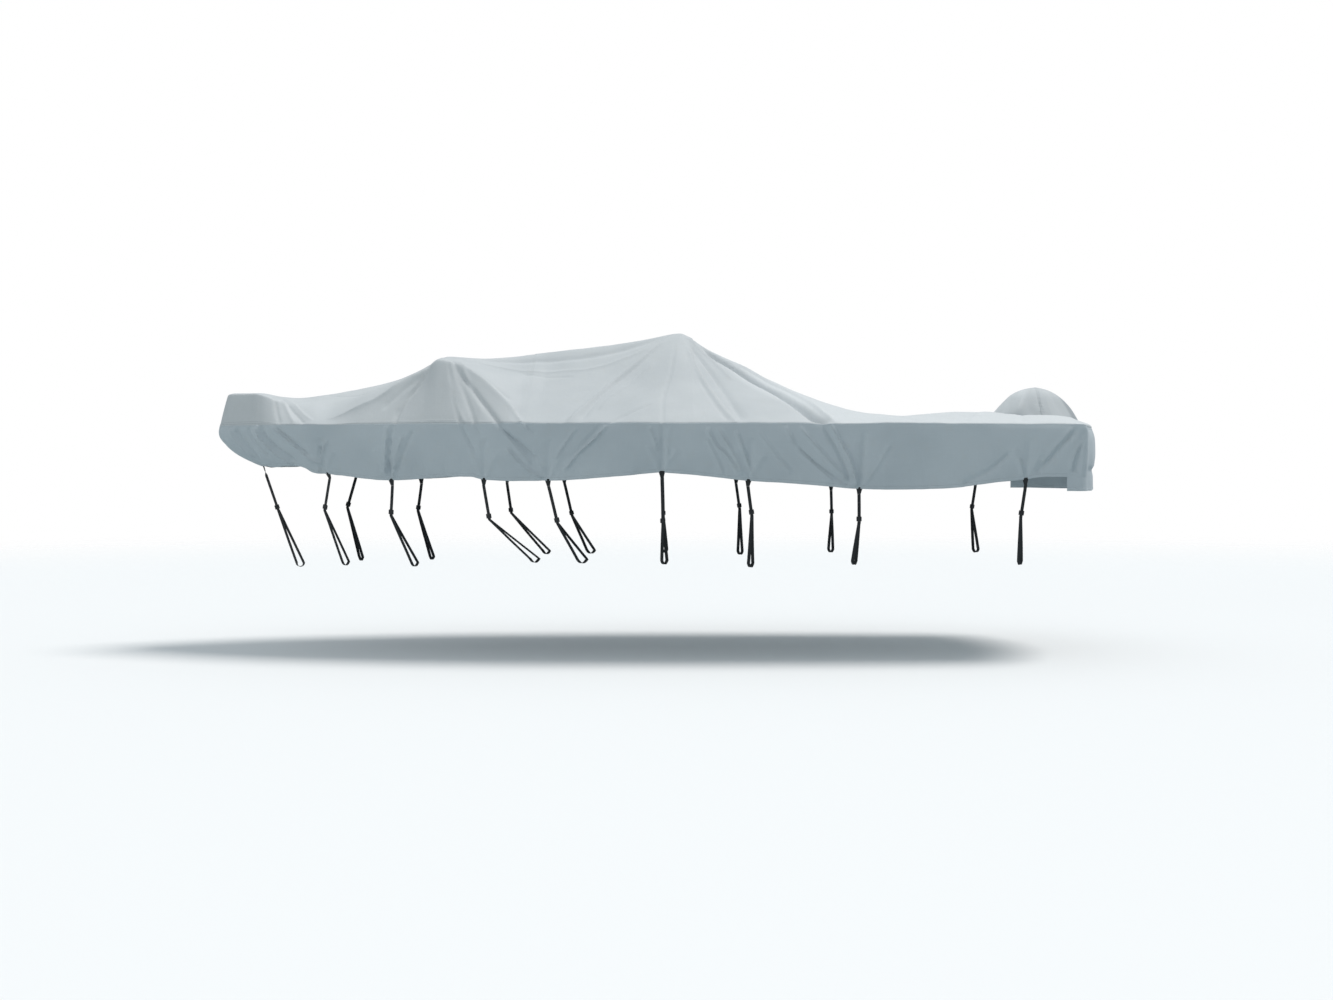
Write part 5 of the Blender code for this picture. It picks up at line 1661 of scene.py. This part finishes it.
loopMaster = makeLoopMaster()
buckleMaster = makeBuckleMaster()
places = [("Port" + row[0], -1, row) for row in strapRows]
places += [("Starboard" + row[0], 1, row) for row in strapRows]
places.append(("Bow", 0, bowStrap))
for label, side, row in places:
    node = (label[:-1].lower() + "_" + row[0]) if side else "bow"
    hem, along, outward, down = hemPlace(side, row[1]) if side else nosePlace()
    web = placeCopy("hemLoop" + label, loopMaster, (along, -outward, -down),
                    hem - outward * loopPiece["inward"])
    start = hem + down * (loopPiece["drop"] + loopPiece["gap"])
    points, centre, run = arcRoute(start, row, side)
    twist = 0.0 if side else strap["bowTwist"]
    ribbon, length = makeRibbon("strap" + label, points, along, down, twist)
    flat = Matrix.Rotation(twist, 3, run) @ (along - run * along.dot(run)).normalized()
    clasp = placeCopy("buckle" + label, buckleMaster, (flat, flat.cross(run) * -1.0, -run), centre)
    for piece, ending, slotName in ((web, "hem_loop_", "webbing"), (ribbon, "strap_", "webbing"),
                                    (clasp, "buckle_", "buckle_plastic")):
        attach(piece, "root")
        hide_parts(ending + node)
for master in (loopMaster, buckleMaster):
    bpy.data.objects.remove(master, do_unlink=True)
print("straps made:", len(places))


def mixShaders(tree, factor, first, second):
    node = tree.nodes.new("ShaderNodeMixShader")
    for socket, given in zip(node.inputs, (factor, first, second)):
        tree.links.new(given, socket)
    return node.outputs[0]


def makeFloor():
    bpy.ops.mesh.primitive_circle_add(vertices=stage["floorCuts"], radius=stage["radius"],
                                      fill_type="NGON", location=(0, 0, stage["floorZ"]))
    floor = bpy.context.active_object
    floor.name = "stageFloor"
    material, tree, shader = newMaterial("paleFloor")
    path = tree.nodes.new("ShaderNodeLightPath")    # throws little light up under the cover
    seen = mixColour(tree, path.outputs["Is Camera Ray"], stage["floorBounce"], stage["floorColour"])
    for label, given in (("Base Color", seen), ("Roughness", stage["floorRoughness"]),
                         ("Specular IOR Level", stage["floorSpecular"])):
        give(tree, given, shader.inputs[label])
    length = tree.nodes.new("ShaderNodeVectorMath")
    length.operation = "LENGTH"
    tree.links.new(objectPlace(tree), length.inputs[0])
    fade = ramp(tree, length.outputs["Value"], stage["fadeFrom"], stage["radius"] * stage["fadeTo"])
    clear = tree.nodes.new("ShaderNodeBsdfTransparent").outputs[0]
    mix = mixShaders(tree, fade, shader.outputs[0], clear)
    tree.links.new(mix, tree.nodes["Material Output"].inputs["Surface"])
    floor.data.materials.append(material)


def addSun(name, direction, strength, softness, colour):
    light = bpy.data.lights.new(name, "SUN")
    light.energy = strength
    light.angle = math.radians(softness)
    light.color = colour
    lamp = linkPiece(name, light)
    lamp.rotation_euler = Vector(direction).to_track_quat("Z", "Y").to_euler()


def makeWorld():
    # a soft light tent: brightest overhead and much dimmer towards the horizon
    world = bpy.data.worlds.new("paleRoom")
    world.use_nodes = True
    tree = world.node_tree
    axes = splitAxes(tree, tree.nodes.new("ShaderNodeTexCoord").outputs["Generated"])
    height = value(tree, "MAXIMUM", axes["Z"], 0.0)
    tent = value(tree, "MULTIPLY_ADD", height, 1 - stage["tentHorizon"], stage["tentHorizon"])
    lit, seen = tree.nodes["Background"], tree.nodes.new("ShaderNodeBackground")
    give(tree, stage["tentColour"], lit.inputs["Color"])
    give(tree, value(tree, "MULTIPLY", tent, stage["tentLight"]), lit.inputs["Strength"])
    give(tree, stage["worldColour"], seen.inputs["Color"])
    give(tree, stage["worldSeen"], seen.inputs["Strength"])
    path = tree.nodes.new("ShaderNodeLightPath")
    mix = mixShaders(tree, path.outputs["Is Camera Ray"], lit.outputs[0], seen.outputs[0])
    tree.links.new(mix, tree.nodes["World Output"].inputs["Surface"])
    bpy.context.scene.world = world


def addCamera():
    data = bpy.data.cameras.new("camera")
    data.lens = view["lens"]
    data.sensor_width = view["sensor"]
    data.clip_end = view["clipEnd"]
    camera = linkPiece("camera", data)
    camera.location = view["place"]
    camera.rotation_euler = (math.radians(90 + view["tilt"]), 0.0, 0.0)
    bpy.context.scene.camera = camera


stage = {
    "floorZ": -2.627,
    "radius": 26.0,
    "floorCuts": 96,
    "fadeFrom": 12.0,
    "fadeTo": 0.97,             # share of the radius
    "floorColour": (0.86, 0.86, 0.86),
    "floorBounce": (0.44, 0.50, 0.52),
    "floorRoughness": 0.9,
    "floorSpecular": 0.1,
    "worldColour": (1.0, 1.0, 1.0),
    "worldSeen": 1.0,
    "tentLight": 0.80,
    "tentHorizon": 0.22,
    "tentColour": (0.84, 0.94, 1.0),
}
# name, where it shines from, strength, softness in degrees, colour
suns = (
    ("overhead", (0.50, 0.12, 1.0), 2.06, 24, (1.0, 0.975, 0.95)),
    ("fill", (-0.85, -0.72, 0.02), 0.56, 30, (1.0, 1.0, 0.96)),
)
view = {
    "place": (-0.1135, -14.2, gunwaleZ - 0.335),
    "tilt": -1.154,
    "sensor": 36.0,
    "lens": 36.0 * 1688.0 / 1333.0,
    "clipEnd": 200.0,
}
makeFloor()
for sun in suns:
    addSun(*sun)
makeWorld()
addCamera()
bpy.context.scene.view_settings.view_transform = "Standard"
